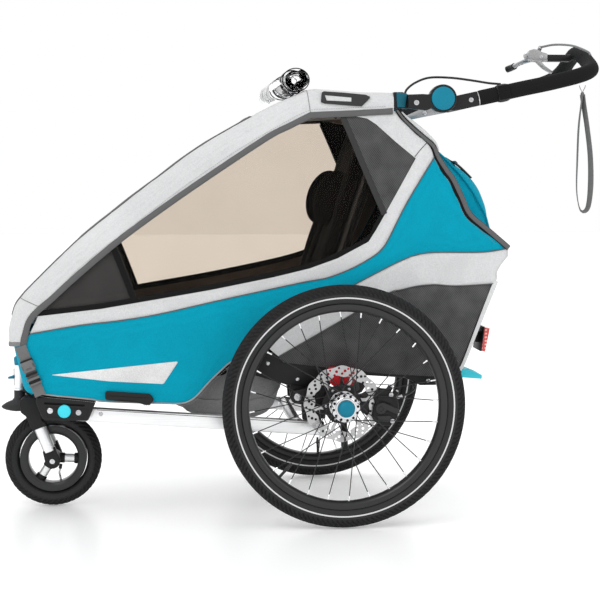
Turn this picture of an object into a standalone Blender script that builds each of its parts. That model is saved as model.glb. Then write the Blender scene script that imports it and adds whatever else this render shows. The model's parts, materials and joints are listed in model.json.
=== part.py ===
"""Child bicycle trailer / jogger, modelled as separate named parts.

Units are metres, +Z up. Working axes: X runs rearwards (the trailer faces -X),
-Y is the trailer's left side, the ground is z = 0 and x = 0 is the rear axle.
The empty "trailer" shifts everything by DX, so that the world origin is the
middle of the footprint.
"""

from math import atan2, cos, pi, radians, sin, sqrt

import bmesh
import bpy
from mathutils import Matrix, Vector

# ---------------------------------------------------------------- dimensions
DX = 0.0753            # rear axle to the middle of the overall length
GAP = 0.0003           # clearance between touching parts

WHEEL_R = 0.250        # 20 x 1.75 in rear wheels
TRACK = 0.285          # half track, to the tyre's middle plane
TYRE_HALF = 0.0225     # half width of the rear tyre
TYRE_SECTION = 0.022
ROTOR_R = 0.080        # 160 mm disc
SPOKES = 28
WHEEL_SEGS = 36

CASTER_AXIS_X = -0.678
CASTER_HUB = (-0.606, 0.105)
CASTER_R = 0.105
CASTER_SEGS = 28

BODY = 0.2003          # inner face of the side fabric
CLOTH = 0.005

FOLD = (-0.610, 0.285)         # upper frame's front pivot (x, z)
BACK_TOP = (0.100, 0.838)      # seat back frame's pivot on the upper frame
KNEE = (-0.045, 0.400)         # lower end of the seat back frame
LINK_FOOT = (-0.0813, 0.2844)  # foot of the folding links
HANDLE = (0.212, 0.879)        # handlebar pivot
ARM_PIVOT = (-0.090, 0.262)    # suspension pivot

# ---------------------------------------------------------------- materials
MATERIALS = {}


def material(name, rgb, roughness=0.6, metallic=0.0, alpha=1.0):
    m = bpy.data.materials.new(name)
    m.use_nodes = True
    shader = m.node_tree.nodes["Principled BSDF"]
    shader.inputs["Base Color"].default_value = (*rgb, 1.0)
    shader.inputs["Roughness"].default_value = roughness
    shader.inputs["Metallic"].default_value = metallic
    shader.inputs["Alpha"].default_value = alpha
    m.diffuse_color = (*rgb, alpha)
    MATERIALS[name] = m


# ---------------------------------------------------------------- placing
PIVOTS = {}


def pivot(name, at, parent=None):
    """An empty on a joint's axis; pieces hang from it."""
    e = bpy.data.objects.new(name, None)
    e.empty_display_size = 0.03
    bpy.context.collection.objects.link(e)
    if parent is None:
        e.location = (at[0] + DX, at[1], at[2])
    else:
        above, origin = PIVOTS[parent]
        e.parent = above
        e.location = Vector(at) - Vector(origin)
    PIVOTS[name] = (e, Vector(at))
    return e


def place(obj, at, mat, smooth=0.0):
    """Hang obj, whose points are in working axes, from a pivot."""
    empty, origin = PIVOTS[at]
    if obj.type == "MESH":
        obj.data.transform(Matrix.Translation(-origin))
    obj.parent = empty
    if mat:
        obj.data.materials.append(MATERIALS[mat])
    if smooth and obj.type == "MESH":
        obj.data.shade_smooth()
        obj.data.set_sharp_from_angle(angle=radians(smooth))
    return obj


def mesh_object(name, bm):
    bmesh.ops.recalc_face_normals(bm, faces=bm.faces)
    mesh = bpy.data.meshes.new(name)
    bm.to_mesh(mesh)
    bm.free()
    obj = bpy.data.objects.new(name, mesh)
    bpy.context.collection.objects.link(obj)
    return obj


def bevelled(obj, width, segments=1, angle=40):
    b = obj.modifiers.new("edge", "BEVEL")
    b.width = width
    b.segments = segments
    b.limit_method = "ANGLE"
    b.angle_limit = radians(angle)
    return obj


def prism(name, outline, y0, y1, at, mat, bevel=0.0, segments=1):
    """A closed outline of (x, z) points extruded from y0 to y1."""
    bm = bmesh.new()
    low, high = min(y0, y1), max(y0, y1)
    base = bm.faces.new([bm.verts.new((x, low, z)) for x, z in outline])
    out = bmesh.ops.extrude_face_region(bm, geom=[base])
    new = [g for g in out["geom"] if isinstance(g, bmesh.types.BMVert)]
    bmesh.ops.translate(bm, verts=new, vec=(0, high - low, 0))
    obj = place(mesh_object(name, bm), at, mat)
    if bevel:
        bevelled(obj, bevel, segments)
    return obj


def box(name, x, y, z, at, mat, bevel=0.0, segments=1):
    return prism(name, [(x[0], z[0]), (x[1], z[0]), (x[1], z[1]), (x[0], z[1])], y[0], y[1], at, mat, bevel, segments)


def turned(name, profile, centre, segs, at, mat, axis="Y", smooth=35, phase=0.0):
    """A profile of (radius, distance along the axis) points turned about an axis
    through centre. A profile that starts and ends on the axis makes a solid."""
    bm = bmesh.new()
    rings = []
    cx, cy, cz = centre
    for r, a in profile:
        if r < 1e-7:
            p = (cx, cy + a, cz) if axis == "Y" else (cx, cy, cz + a)
            rings.append([bm.verts.new(p)])
            continue
        ring = []
        for i in range(segs):
            t = 2 * pi * i / segs + phase
            u, v = r * cos(t), r * sin(t)
            p = (cx + u, cy + a, cz + v) if axis == "Y" else (cx + u, cy + v, cz + a)
            ring.append(bm.verts.new(p))
        rings.append(ring)
    closed = len(rings[0]) > 1
    pairs = list(zip(rings, rings[1:]))
    if closed:
        pairs.append((rings[-1], rings[0]))
    for a, b in pairs:
        if len(a) == 1 and len(b) == 1:
            continue
        for i in range(segs):
            j = (i + 1) % segs
            if len(a) == 1:
                bm.faces.new((a[0], b[i], b[j]))
            elif len(b) == 1:
                bm.faces.new((a[i], a[j], b[0]))
            else:
                bm.faces.new((a[i], a[j], b[j], b[i]))
    return place(mesh_object(name, bm), at, mat, smooth)


def cylinder(name, p, q, r, at, mat, sides=12):
    """A capped cylinder between two points."""
    p, q = Vector(p), Vector(q)
    d = (q - p).normalized()
    u = d.orthogonal().normalized()
    v = d.cross(u)
    bm = bmesh.new()
    rings = []
    for c in (p, q):
        rings.append([bm.verts.new(c + r * (cos(2 * pi * i / sides) * u + sin(2 * pi * i / sides) * v)) for i in range(sides)])
    for i in range(sides):
        j = (i + 1) % sides
        bm.faces.new((rings[0][i], rings[0][j], rings[1][j], rings[1][i]))
    bm.faces.new(rings[0])
    bm.faces.new(rings[1])
    return place(mesh_object(name, bm), at, mat, 35)


def smooth_route(points, per=4, closed_ends=True):
    """Points along a Catmull-Rom curve through the given points."""
    pts = [Vector(p) for p in points]
    pts = [2 * pts[0] - pts[1]] + pts + [2 * pts[-1] - pts[-2]]
    out = []
    for i in range(1, len(pts) - 2):
        a, b, c, d = pts[i - 1 : i + 3]
        for k in range(per):
            t = k / per
            out.append(0.5 * (2 * b + (c - a) * t + (2 * a - 5 * b + 4 * c - d) * t * t + (3 * b - a - 3 * c + d) * t ** 3))
    out.append(pts[-2])
    return out


def tube(name, points, r, at, mat, resolution=2, per=4):
    """A round tube along a smooth route, as a curve with a bevel and filled caps."""
    empty, origin = PIVOTS[at]
    route = smooth_route(points, per) if per > 1 else [Vector(p) for p in points]
    curve = bpy.data.curves.new(name, "CURVE")
    curve.dimensions = "3D"
    curve.bevel_depth = r
    curve.bevel_resolution = resolution
    curve.use_fill_caps = True
    curve.render_resolution_u = 0
    spline = curve.splines.new("POLY")
    spline.points.add(len(route) - 1)
    for sp, p in zip(spline.points, route):
        sp.co = (*(p - origin), 1.0)
    obj = bpy.data.objects.new(name, curve)
    bpy.context.collection.objects.link(obj)
    obj.parent = empty
    curve.materials.append(MATERIALS[mat])
    return obj


def swept_rings(bm, route, radii, sides):
    rings = []
    for i, p in enumerate(route):
        t = (route[min(i + 1, len(route) - 1)] - route[max(i - 1, 0)]).normalized()
        side = t.cross(Vector((0.28, 0.0, -1.0))).normalized()
        up = side.cross(t)
        rings.append([[bm.verts.new(p + r * (cos(2 * pi * k / sides) * side + sin(2 * pi * k / sides) * up)) for k in range(sides)] for r in radii])
    return rings


def rod(name, points, r, at, mat, sides=8, per=3):
    """A solid round bar swept along a smooth route, as a mesh."""
    route = smooth_route(points, per) if per > 1 else [Vector(p) for p in points]
    bm = bmesh.new()
    rings = [x[0] for x in swept_rings(bm, route, [r], sides)]
    for a, b in zip(rings, rings[1:]):
        for k in range(sides):
            m = (k + 1) % sides
            bm.faces.new((a[k], a[m], b[m], b[k]))
    bm.faces.new(rings[0])
    bm.faces.new(rings[-1])
    return place(mesh_object(name, bm), at, mat, 35)


def hose(name, points, outer, inner, at, mat, sides=8, per=2):
    """A hollow round sleeve swept along a smooth route, open at both ends."""
    route = smooth_route(points, per) if per > 1 else [Vector(p) for p in points]
    bm = bmesh.new()
    rings = swept_rings(bm, route, [outer, inner], sides)
    for a, b in zip(rings, rings[1:]):
        for w in (0, 1):
            for k in range(sides):
                m = (k + 1) % sides
                bm.faces.new((a[w][k], a[w][m], b[w][m], b[w][k]))
    for end in (rings[0], rings[-1]):
        for k in range(sides):
            m = (k + 1) % sides
            bm.faces.new((end[0][k], end[0][m], end[1][m], end[1][k]))
    return place(mesh_object(name, bm), at, mat, 35)


def joined(obj, *others):
    """obj and the others as one body."""
    for other in others:
        boolean(obj, other, "UNION")
    return obj


def boolean(obj, other, operation="DIFFERENCE"):
    other.hide_render = True
    other.display_type = "WIRE"
    m = obj.modifiers.new(operation.lower(), "BOOLEAN")
    m.operation = operation
    m.object = other
    return obj


def circle(cx, cz, r, start=0.0, end=360.0, n=16):
    full = abs(end - start) >= 360
    steps = n if full else n - 1
    return [(cx + r * cos(radians(start + (end - start) * i / steps)), cz + r * sin(radians(start + (end - start) * i / steps))) for i in range(n)]


def ribbon_outline(points, thickness):
    """Outline of a strip that follows (x, z) points and is thickened to its right."""
    left, right = [], []
    for i, (x, z) in enumerate(points):
        a = points[max(i - 1, 0)]
        b = points[min(i + 1, len(points) - 1)]
        dx, dz = b[0] - a[0], b[1] - a[1]
        n = sqrt(dx * dx + dz * dz)
        left.append((x, z))
        right.append((x + dz / n * thickness, z - dx / n * thickness))
    return left + right[::-1]


def rotate(p, about, angle):
    """Turn (x, z) about a point; a positive angle turns +Z towards +X."""
    x, z = p[0] - about[0], p[1] - about[1]
    c, s = cos(angle), sin(angle)
    return (about[0] + x * c + z * s, about[1] - x * s + z * c)


SIDES = (("left", -1), ("right", 1))

for old in list(bpy.data.objects):
    bpy.data.objects.remove(old)

material("silver_tube", (0.78, 0.79, 0.80), 0.35, 0.9)
material("black_plastic", (0.035, 0.036, 0.038), 0.5)
material("black_paint", (0.03, 0.03, 0.03), 0.4, 0.2)
material("teal_plastic", (0.0, 0.22, 0.33), 0.4)
material("teal_fabric", (0.0, 0.33, 0.47), 0.9)
material("grey_fabric", (0.66, 0.66, 0.66), 0.9)
material("dark_mesh", (0.06, 0.06, 0.065), 0.8)
material("clear_sheet", (0.67, 0.58, 0.49), 0.15, 0.0, 0.5)
material("tyre_rubber", (0.03, 0.03, 0.032), 0.8)
material("steel", (0.6, 0.6, 0.62), 0.3, 1.0)
material("foam", (0.015, 0.015, 0.015), 0.9)
material("red_elastomer", (0.5, 0.02, 0.03), 0.5)
material("red_lens", (0.6, 0.03, 0.03), 0.2)
material("black_lining", (0.03, 0.03, 0.03), 0.9)
material("webbing", (0.3, 0.3, 0.3), 0.85)
material("heather", (0.25, 0.25, 0.25), 0.95)

pivot("trailer", (0, 0, 0))

# ================================================================= chassis
# lower frame: two aluminium side rails that drop slightly to the rear, welded
# to a front cross tube and the suspension cross tube
lower_frame = prism("lower_frame", [(-0.600, 0.2455), (-0.600, 0.2165), (-0.035, 0.1735), (-0.035, 0.2030)], -0.162, -0.182, "trailer", "silver_tube")
joined(
    lower_frame,
    rod("join_front_tube", [(-0.571, -0.1720, 0.2310), (-0.571, 0.1720, 0.2310)], 0.0122, "trailer", None, 12, 1),
    rod("join_rear_tube", [(-0.085, -0.1720, 0.1950), (-0.085, 0.1720, 0.1950)], 0.0120, "trailer", None, 12, 1),
    prism("join_right_rail", [(-0.600, 0.2455), (-0.600, 0.2165), (-0.035, 0.1735), (-0.035, 0.2030)], 0.162, 0.182, "trailer", None),
)

# rear carrier: body rails, hanger plates on the side rails and the rear beam
RAIL = [(-0.181, 0.306), (-0.162, 0.352), (-0.128, 0.352), (-0.119, 0.333), (-0.015, 0.322), (0.141, 0.3035), (0.210, 0.2995), (0.206, 0.280), (0.171, 0.280), (0.139, 0.2965), (-0.036, 0.309), (-0.066, 0.280), (-0.112, 0.285)]
PLATE = [(-0.116, 0.2112), (-0.040, 0.2055), (-0.050, 0.255), (-0.060, 0.310), (-0.104, 0.310), (-0.114, 0.255)]
carrier = prism("rear_carrier", RAIL, -0.1823, -0.1980, "trailer", "black_plastic")
joined(
    carrier,
    prism("join_left_plate", PLATE, -0.1700, -0.1870, "trailer", None),
    box("join_beam", (0.174, 0.2040), (-0.1900, 0.1900), (0.2815, 0.2975), "trailer", None),
    prism("join_right_rail2", RAIL, 0.1823, 0.1980, "trailer", None),
    prism("join_right_plate", PLATE, 0.1700, 0.1870, "trailer", None),
)

for side, s in SIDES:
    # cast front bracket: outer plate with a hole for the release button, a foot
    # on top of the rail, and an inner lug with the pin of the folding frame
    bracket = prism(f"{side}_front_bracket", [(-0.629, 0.258), (-0.622, 0.2665), (-0.506, 0.2575), (-0.523, 0.2155), (-0.614, 0.2185)], s * 0.1823, s * 0.2040, "trailer", "black_plastic")
    joined(
        bracket,
        prism(f"join_foot_{side}", [(-0.628, 0.2520), (-0.626, 0.2600), (-0.560, 0.2565), (-0.560, 0.2460), (-0.600, 0.2490)], s * 0.1640, s * 0.1900, "trailer", None),
        prism(f"join_lug_{side}", [(-0.630, 0.2520), (-0.586, 0.2495), (-0.590, 0.280), (-0.600, 0.298), (-0.618, 0.299), (-0.630, 0.285)], s * 0.1640, s * 0.1745, "trailer", None),
        cylinder(f"join_pin_{side}", (FOLD[0], s * 0.1700, FOLD[1]), (FOLD[0], s * 0.1780, FOLD[1]), 0.0048, "trailer", None),
    )
    hole = turned(f"cut_bracket_{side}", [(0.0, -0.01), (0.0140, -0.01), (0.0140, 0.02), (0.0, 0.02)] if s > 0 else [(0.0, -0.02), (0.0140, -0.02), (0.0140, 0.01), (0.0, 0.01)], (-0.571, s * 0.2040, 0.236), 20, "trailer", None, smooth=0)
    boolean(bracket, hole)

# ---- caster arm and head tube
arm = prism("caster_arm", [(-0.6700, 0.2550), (-0.6700, 0.2655), (-0.548, 0.2655), (-0.548, 0.2475), (-0.552, 0.2440), (-0.590, 0.2440), (-0.592, 0.2475), (-0.6610, 0.2475), (-0.6610, 0.2550)], -0.020, 0.020, "trailer", "black_plastic")
joined(arm, cylinder("join_head", (CASTER_AXIS_X, 0, 0.2548), (CASTER_AXIS_X, 0, 0.3100), 0.0115, "trailer", None, 16))
boolean(arm, cylinder("cut_head", (CASTER_AXIS_X, 0, 0.2500), (CASTER_AXIS_X, 0, 0.3150), 0.0068, "trailer", None, 12))

# ---- swivel lock knob, pulled up to free the caster
pivot("swivel_lock_pivot", (CASTER_AXIS_X, 0, 0.3103), "trailer")
turned("swivel_lock_knob", [(0.0, 0.2850), (0.0050, 0.2850), (0.0050, 0.3103), (0.0100, 0.3103), (0.0112, 0.3200), (0.0080, 0.3280), (0.0, 0.3290)], (CASTER_AXIS_X, 0, 0), 16, "swivel_lock_pivot", "teal_plastic", axis="Z")

# ================================================================= caster
pivot("caster_pivot", (CASTER_AXIS_X, 0, 0.24), "trailer")
hx, hz = CASTER_HUB
crown = prism("caster_fork", [(-0.675, 0.232), (-0.664, 0.2460), (-0.638, 0.2440), (-0.627, 0.193), (-0.617, 0.184), (-0.647, 0.172), (-0.662, 0.205), (-0.672, 0.212)], -0.0520, 0.0520, "caster_pivot", "black_plastic")
boolean(crown, turned("cut_crown", [(0.0, -0.030), (0.1105, -0.030), (0.1105, 0.030), (0.0, 0.030)], (hx, 0, hz), 40, "caster_pivot", None, smooth=0))
neck = turned("cut_neck", [(0.0, 0.2150), (0.0120, 0.2150), (0.0120, 0.2538), (0.0, 0.2538)], (CASTER_AXIS_X, 0, 0), 16, "caster_pivot", None, axis="Z", smooth=0)
boolean(crown, neck, "UNION")
nose = prism("cut_nose", [(-0.7170, 0.2200), (-0.7000, 0.2320), (-0.6880, 0.2380), (-0.6700, 0.2380), (-0.6700, 0.2100), (-0.6860, 0.2080), (-0.7020, 0.2110)], -0.014, 0.014, "caster_pivot", None)
boolean(crown, nose, "UNION")

leg = Vector((0.3624, 0, -0.9320))
top = Vector((-0.632, 0, 0.178))
for side, s in SIDES:
    p = top - leg * 0.006
    q = top + leg * 0.0560
    across = Vector((0.9320, 0, 0.3624))
    e = top + leg * 0.0520
    a, b = e - across * 0.0135, e + across * 0.0135
    joined(
        crown,
        cylinder(f"join_leg_{side}", (p.x, s * 0.0425, p.z), (q.x, s * 0.0425, q.z), 0.0112, "caster_pivot", None, 12),
        prism(f"join_dropout_{side}", [(a.x, a.z), (b.x, b.z)] + circle(hx, hz, 0.0165, 20, -150, 9), s * 0.0335, s * 0.0515, "caster_pivot", None),
    )
boolean(crown, cylinder("cut_axle", (hx, -0.07, hz), (hx, 0.07, hz), 0.0045, "caster_pivot", None, 12))
turned("caster_axle", [(0.0, -0.0560), (0.0075, -0.0560), (0.0075, -0.0524), (0.0041, -0.0524), (0.0041, 0.0524), (0.0075, 0.0524), (0.0075, 0.0560), (0.0, 0.0560)], (hx, 0, hz), 12, "caster_pivot", "steel")

pivot("caster_wheel_axis", (hx, 0, hz), "caster_pivot")
rim = turned("caster_rim", [(0.0540, -0.0170), (0.0540, 0.0170), (0.0600, 0.0200), (0.0720, 0.0190), (0.0700, 0.0150), (0.0700, -0.0150), (0.0720, -0.0190), (0.0600, -0.0200)], (hx, 0, hz), CASTER_SEGS, "caster_wheel_axis", "black_plastic")
for i in range(3):
    t = radians(-3 + 120 * i)
    d = Vector((cos(t), 0, sin(t)))
    c = Vector((hx, 0, hz))
    joined(rim, cylinder(f"join_spoke_{i + 1}", c + d * 0.0120, c + d * 0.0560, 0.0085, "caster_wheel_axis", None, 10))
joined(rim, cylinder("join_caster_hub", (hx, -0.030, hz), (hx, 0.030, hz), 0.0165, "caster_wheel_axis", None, 16))
boolean(rim, cylinder("cut_caster_bore", (hx, -0.04, hz), (hx, 0.04, hz), 0.0046, "caster_wheel_axis", None, 12))
CS, CW = 0.0168, 0.0235
turned("caster_tyre", [(CASTER_R - CS + CS * cos(t), CW * sin(t)) for t in [2 * pi * k / 10 for k in range(10)]], (hx, 0, hz), CASTER_SEGS, "caster_wheel_axis", "tyre_rubber")

# ================================================================= rear wheels
for side, s in SIDES:
    arm_axis = f"{side}_arm_pivot"
    pivot(arm_axis, (ARM_PIVOT[0], s * 0.21, ARM_PIVOT[1]), "trailer")
    # swing arm: pivot eye, arm and round hub carrier with a post below it
    ax, az = ARM_PIVOT
    outline = circle(ax, az, 0.0145, 95, 262, 7) + [(-0.030, 0.219)] + circle(0, 0.25, 0.042, 238, 272, 3)
    outline += [(0.003, 0.150), (0.016, 0.150)] + circle(0, 0.25, 0.042, 293, 474, 13)
    arm = prism(f"{side}_swing_arm", outline, s * 0.2008, s * 0.2220, arm_axis, "black_plastic")
    boolean(arm, turned(f"cut_arm_{side}", [(0.0, -0.03), (0.0075, -0.03), (0.0075, 0.03), (0.0, 0.03)], (0, s * 0.212, 0.25), 14, arm_axis, None, smooth=0))
    # red elastomer between the hub carrier and the body rail
    prism(f"{side}_suspension_block", [(-0.026, 0.3165), (-0.026, 0.2890), (-0.012, 0.2945), (-0.004, 0.3000), (0.006, 0.3000), (0.014, 0.2935), (0.029, 0.2860), (0.034, 0.2960), (0.034, 0.3140)], s * 0.1985, s * 0.2210, "trailer", "red_elastomer")
    # brake caliper and its adapter
    joined(arm, prism(f"join_adapter_{side}", [(0.030, 0.262), (0.070, 0.284), (0.104, 0.272), (0.100, 0.214), (0.064, 0.212), (0.034, 0.236)], s * 0.2180, s * 0.2286, arm_axis, None))
    caliper = prism(f"{side}_caliper", [(0.060, 0.206), (0.104, 0.200), (0.118, 0.222), (0.118, 0.262), (0.110, 0.280), (0.062, 0.279), (0.056, 0.245)], s * 0.2290, s * 0.2600, arm_axis, "black_plastic", 0.002)
    boolean(caliper, turned(f"cut_caliper_{side}", [(0.0, -0.0030), (0.0835, -0.0030), (0.0835, 0.0030), (0.0, 0.0030)], (0, s * 0.2450, 0.25), 40, arm_axis, None, smooth=0))

    hub_axis = f"{side}_wheel_axis"
    pivot(hub_axis, (0, s * TRACK, 0.25), arm_axis)
    o = (0, 0, 0.25)

    def prof(points):
        """Profile given with distances from the mid plane, for this side."""
        return [(r, s * a) for r, a in (points if s > 0 else points)]

    turned(f"{side}_tyre", [(WHEEL_R - TYRE_SECTION + TYRE_SECTION * cos(t), s * TRACK + TYRE_HALF * sin(t)) for t in [2 * pi * k / 10 for k in range(10)]], o, WHEEL_SEGS, hub_axis, "tyre_rubber")
    rim = turned(f"{side}_rim", [(r, s * TRACK + a) for r, a in [(0.1967, -0.0115), (0.1967, 0.0115), (0.2000, 0.0160), (0.2100, 0.0160), (0.2100, 0.0135), (0.2052, 0.0120), (0.2052, -0.0120), (0.2100, -0.0135), (0.2100, -0.0160), (0.2000, -0.0160)]], o, WHEEL_SEGS, hub_axis, "black_paint")
    hub_shell = turned(f"{side}_hub", prof([(0.0, 0.2240), (0.0140, 0.2240), (0.0140, 0.2610), (0.0270, 0.2610), (0.0270, 0.2640), (0.0140, 0.2640), (0.0140, 0.3060), (0.0270, 0.3060), (0.0270, 0.3090), (0.0212, 0.3090), (0.0212, 0.3165), (0.0178, 0.3165), (0.0178, 0.3098), (0.0, 0.3098)]), o, 20, hub_axis, "silver_tube")
    joined(hub_shell, cylinder(f"join_axle_{side}", (0, s * 0.2040, 0.25), (0, s * 0.2300, 0.25), 0.0060, hub_axis, None, 12))
    rotor = turned(f"{side}_brake_rotor", prof([(0.0205, 0.2440), (ROTOR_R, 0.2440), (ROTOR_R, 0.2460), (0.0400, 0.2460), (0.0400, 0.2500), (0.0240, 0.2605), (0.0145, 0.2605), (0.0145, 0.2440)]), o, 36, hub_axis, "steel")
    for k in range(5):
        t0 = radians(90 + 72 * k)
        quad = [(0.043, -20), (0.062, -30), (0.062, 16), (0.043, 4)]
        pts = [(r * cos(t0 + radians(a)), 0.25 + r * sin(t0 + radians(a))) for r, a in quad]
        pts.insert(2, (0.0645 * cos(t0 + radians(-7)), 0.25 + 0.063 * sin(t0 + radians(-7))))
        boolean(rotor, prism(f"cut_rotor_{side}_{k}", pts, s * 0.24, s * 0.25, hub_axis, None))

    # spokes: a thin nipple band whose inner squares are drawn out to the flanges
    bm = bmesh.new()
    half, wide = 0.0016, 0.0065
    angles = []
    for k in range(SPOKES):
        t = 2 * pi * (k + 0.5) / SPOKES
        da = half / 0.194
        angles += [t - da, t + da]
    cols = []
    levels = [(0.1990, -wide), (0.1945, -wide), (0.1945, -half), (0.1945, half), (0.1945, wide), (0.1990, wide)]
    for t in angles:
        cols.append([bm.verts.new((r * cos(t), s * TRACK + a, 0.25 + r * sin(t))) for r, a in levels])
    n = len(cols)
    ends = []
    for i in range(n):
        j = (i + 1) % n
        for m in range(len(levels)):
            m2 = (m + 1) % len(levels)
            f = bm.faces.new((cols[i][m], cols[j][m], cols[j][m2], cols[i][m2]))
            if m == 2 and i % 2 == 0:
                ends.append((i // 2, f))
    for k, f in ends:
        out = bmesh.ops.extrude_discrete_faces(bm, faces=[f])
        face = out["faces"][0]
        t = 2 * pi * (k + 0.5) / SPOKES
        inner = k % 2 == 0
        lean = radians(58) if (k // 2) % 2 == 0 else radians(-58)
        y = 0.2625 if inner else 0.3075
        ta = t + lean
        goal = Vector((0.0298 * cos(ta), s * y, 0.25 + 0.0298 * sin(ta)))
        c = face.calc_center_median()
        radial = Vector((cos(ta), 0, sin(ta)))
        tang = Vector((-sin(ta), 0, cos(ta)))
        for v in face.verts:
            e = v.co - c
            sy = 1 if e.y > 0 else -1
            st = 1 if e.dot(Vector((-sin(t), 0, cos(t)))) > 0 else -1
            v.co = goal + tang * st * 0.0012 + Vector((0, sy * 0.0012, 0))
    joined(rim, place(mesh_object(f"join_spokes_{side}", bm), hub_axis, None))

    cap_axis = f"{side}_cap_axis"
    pivot(cap_axis, (0, s * 0.3130, 0.25), hub_axis)
    turned(f"{side}_wheel_release_cap", prof([(0.0, 0.3130), (0.0172, 0.3130), (0.0172, 0.3235), (0.0130, 0.3285), (0.0060, 0.3303), (0.0, 0.3305)]), o, 20, cap_axis, "teal_plastic")


# one cable runs from caliper to caliper in front of the rear beam, where the lever's
# cable divides
half_run = [(0.1188, 0.236, 0.262), (0.132, 0.236, 0.2650), (0.146, 0.230, 0.2700), (0.155, 0.218, 0.2745), (0.158, 0.200, 0.2760), (0.160, 0.184, 0.2765), (0.165, 0.170, 0.2820), (0.1695, 0.145, 0.2880), (0.1705, 0.100, 0.2895)]
tube("caliper_cable", [(x, -y, z) for x, y, z in half_run] + [(0.1705, 0.0, 0.2895)] + half_run[::-1], 0.0024, "trailer", "black_plastic", 1, 2)

# ================================================================= parking brake pedal
pivot("pedal_axis", (0.222, 0, 0.2855), "trailer")
pedal = prism("parking_brake_pedal", [(0.290, 0.2935), (0.304, 0.2935), (0.337, 0.2800), (0.337, 0.2715), (0.290, 0.2755)], -0.042, 0.042, "pedal_axis", "teal_plastic")
joined(pedal, prism("join_pedal_arm", [(0.2085, 0.2815), (0.2085, 0.2910), (0.226, 0.2935), (0.300, 0.2900), (0.300, 0.2775), (0.226, 0.2775)], -0.012, 0.012, "pedal_axis", None))

# ================================================================= seat and floor
FLOOR = [(-0.652, 0.372), (-0.640, 0.330), (-0.628, 0.2870), (-0.55, 0.2750), (-0.50, 0.2670), (-0.365, 0.2610), (-0.345, 0.2625)]
prism("footwell_panel", ribbon_outline(FLOOR, -0.005), -0.1600, 0.1600, "trailer", "teal_fabric")
box("seat_cushion", (-0.340, -0.100), (-0.155, 0.155), (0.2870, 0.3275), "trailer", "black_lining", 0.010, 2)
prism("seat_tub", [(-0.342, 0.272), (-0.330, 0.232), (-0.300, 0.213), (-0.250, 0.204), (-0.180, 0.205), (-0.145, 0.220), (-0.122, 0.262), (-0.118, 0.2865), (-0.342, 0.2865)], -0.1570, 0.1570, "trailer", "heather")
prism("luggage_floor", ribbon_outline([(-0.020, 0.3260), (0.10, 0.3150), (0.235, 0.3060)], 0.005), -0.1817, 0.1817, "trailer", "dark_mesh")

# ================================================================= folding upper frame
pivot("upper_frame_pivot", (FOLD[0], 0, FOLD[1]), "trailer")
TUBE_R = 0.0105
TUBE = [(-0.610, 0.285), (-0.632, 0.330), (-0.650, 0.385), (-0.655, 0.420), (-0.643, 0.452), (-0.604, 0.495), (-0.44, 0.632), (-0.28, 0.748), (-0.14, 0.842), (-0.088, 0.866), (-0.040, 0.8725), (0.020, 0.8725), (0.1100, 0.8720)]
LUG = [(0.086, 0.8265), (0.1085, 0.8265), (0.1085, 0.876), (0.086, 0.876)]
# upper frame: bent side tubes welded to two cross tubes, with lugs for the seat back
upper = rod("upper_frame", [(x, -0.1890, z) for x, z in TUBE], TUBE_R, "upper_frame_pivot", "silver_tube", 8, 2)
joined(
    upper,
    rod("join_upper_tube", [(-0.050, -0.1890, 0.8710), (-0.050, 0.1890, 0.8710)], 0.0085, "upper_frame_pivot", None, 8, 1),
    rod("join_hoop_tube", [(-0.6550, -0.1890, 0.4200), (-0.6550, 0.1890, 0.4200)], 0.0085, "upper_frame_pivot", None, 8, 1),
    prism("join_left_lug", LUG, -0.1690, -0.1860, "upper_frame_pivot", None),
    rod("join_right_tube", [(x, 0.1890, z) for x, z in TUBE], TUBE_R, "upper_frame_pivot", None, 8, 2),
    prism("join_right_lug", LUG, 0.1690, 0.1860, "upper_frame_pivot", None),
)
for side, s in SIDES:
    # fold joint: collar at the end of the upper tube and the link to the hub
    collar = prism(f"{side}_fold_joint", [(0.1106, 0.8590), (0.1106, 0.8925), (0.1300, 0.8925), (0.1400, 0.8880), (0.1450, 0.8875), (0.1450, 0.8590)], s * 0.1720, s * 0.2040, "upper_frame_pivot", "black_plastic")
    latch_axis = f"{side}_latch_axis"
    pivot(latch_axis, (0.125, s * 0.206, 0.876), "upper_frame_pivot")
    prism(f"{side}_fold_latch", [(0.1165, 0.8620), (0.1165, 0.8920), (0.1365, 0.8880), (0.1365, 0.8620)], s * 0.2043, s * 0.2085, latch_axis, "teal_plastic", 0.001)
    # link to the round handlebar hub, with a recess for the button
    hz2 = HANDLE[1]
    link_pts = [(0.1395, 0.8570), (0.1395, 0.8868), (0.170, 0.8880), (0.184, 0.8870)] + circle(HANDLE[0], hz2, 0.0290, 140, -145, 17) + [(0.178, 0.8540)]
    joined(collar, prism(f"join_link_{side}", link_pts, s * 0.2013, s * 0.2215, "upper_frame_pivot", None))
    boolean(collar, turned(f"cut_link_{side}", [(0.0, -0.0040), (0.0250, -0.0040), (0.0250, 0.0060), (0.0, 0.0060)] if s > 0 else [(0.0, -0.0060), (0.0250, -0.0060), (0.0250, 0.0040), (0.0, 0.0040)], (HANDLE[0], s * 0.2215, hz2), 28, "upper_frame_pivot", None, smooth=0))
    button_axis = f"{side}_handle_button_axis"
    pivot(button_axis, (HANDLE[0], s * 0.222, hz2), "upper_frame_pivot")
    turned(f"{side}_handle_button", [(0.0, s * 0.2206), (0.0245, s * 0.2206), (0.0245, s * 0.2240), (0.0215, s * 0.2255), (0.0, s * 0.2255)], (HANDLE[0], 0, hz2), 24, button_axis, "teal_plastic")
    # bracket release button at the front corner
    front_button = f"{side}_bracket_button_axis"
    pivot(front_button, (-0.571, s * 0.204, 0.236), "trailer")
    turned(f"{side}_bracket_button", [(0.0, s * 0.1975), (0.0135, s * 0.1975), (0.0135, s * 0.2060), (0.0110, s * 0.2075), (0.0, s * 0.2075)], (-0.571, 0, 0.236), 18, front_button, "teal_plastic")


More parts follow.
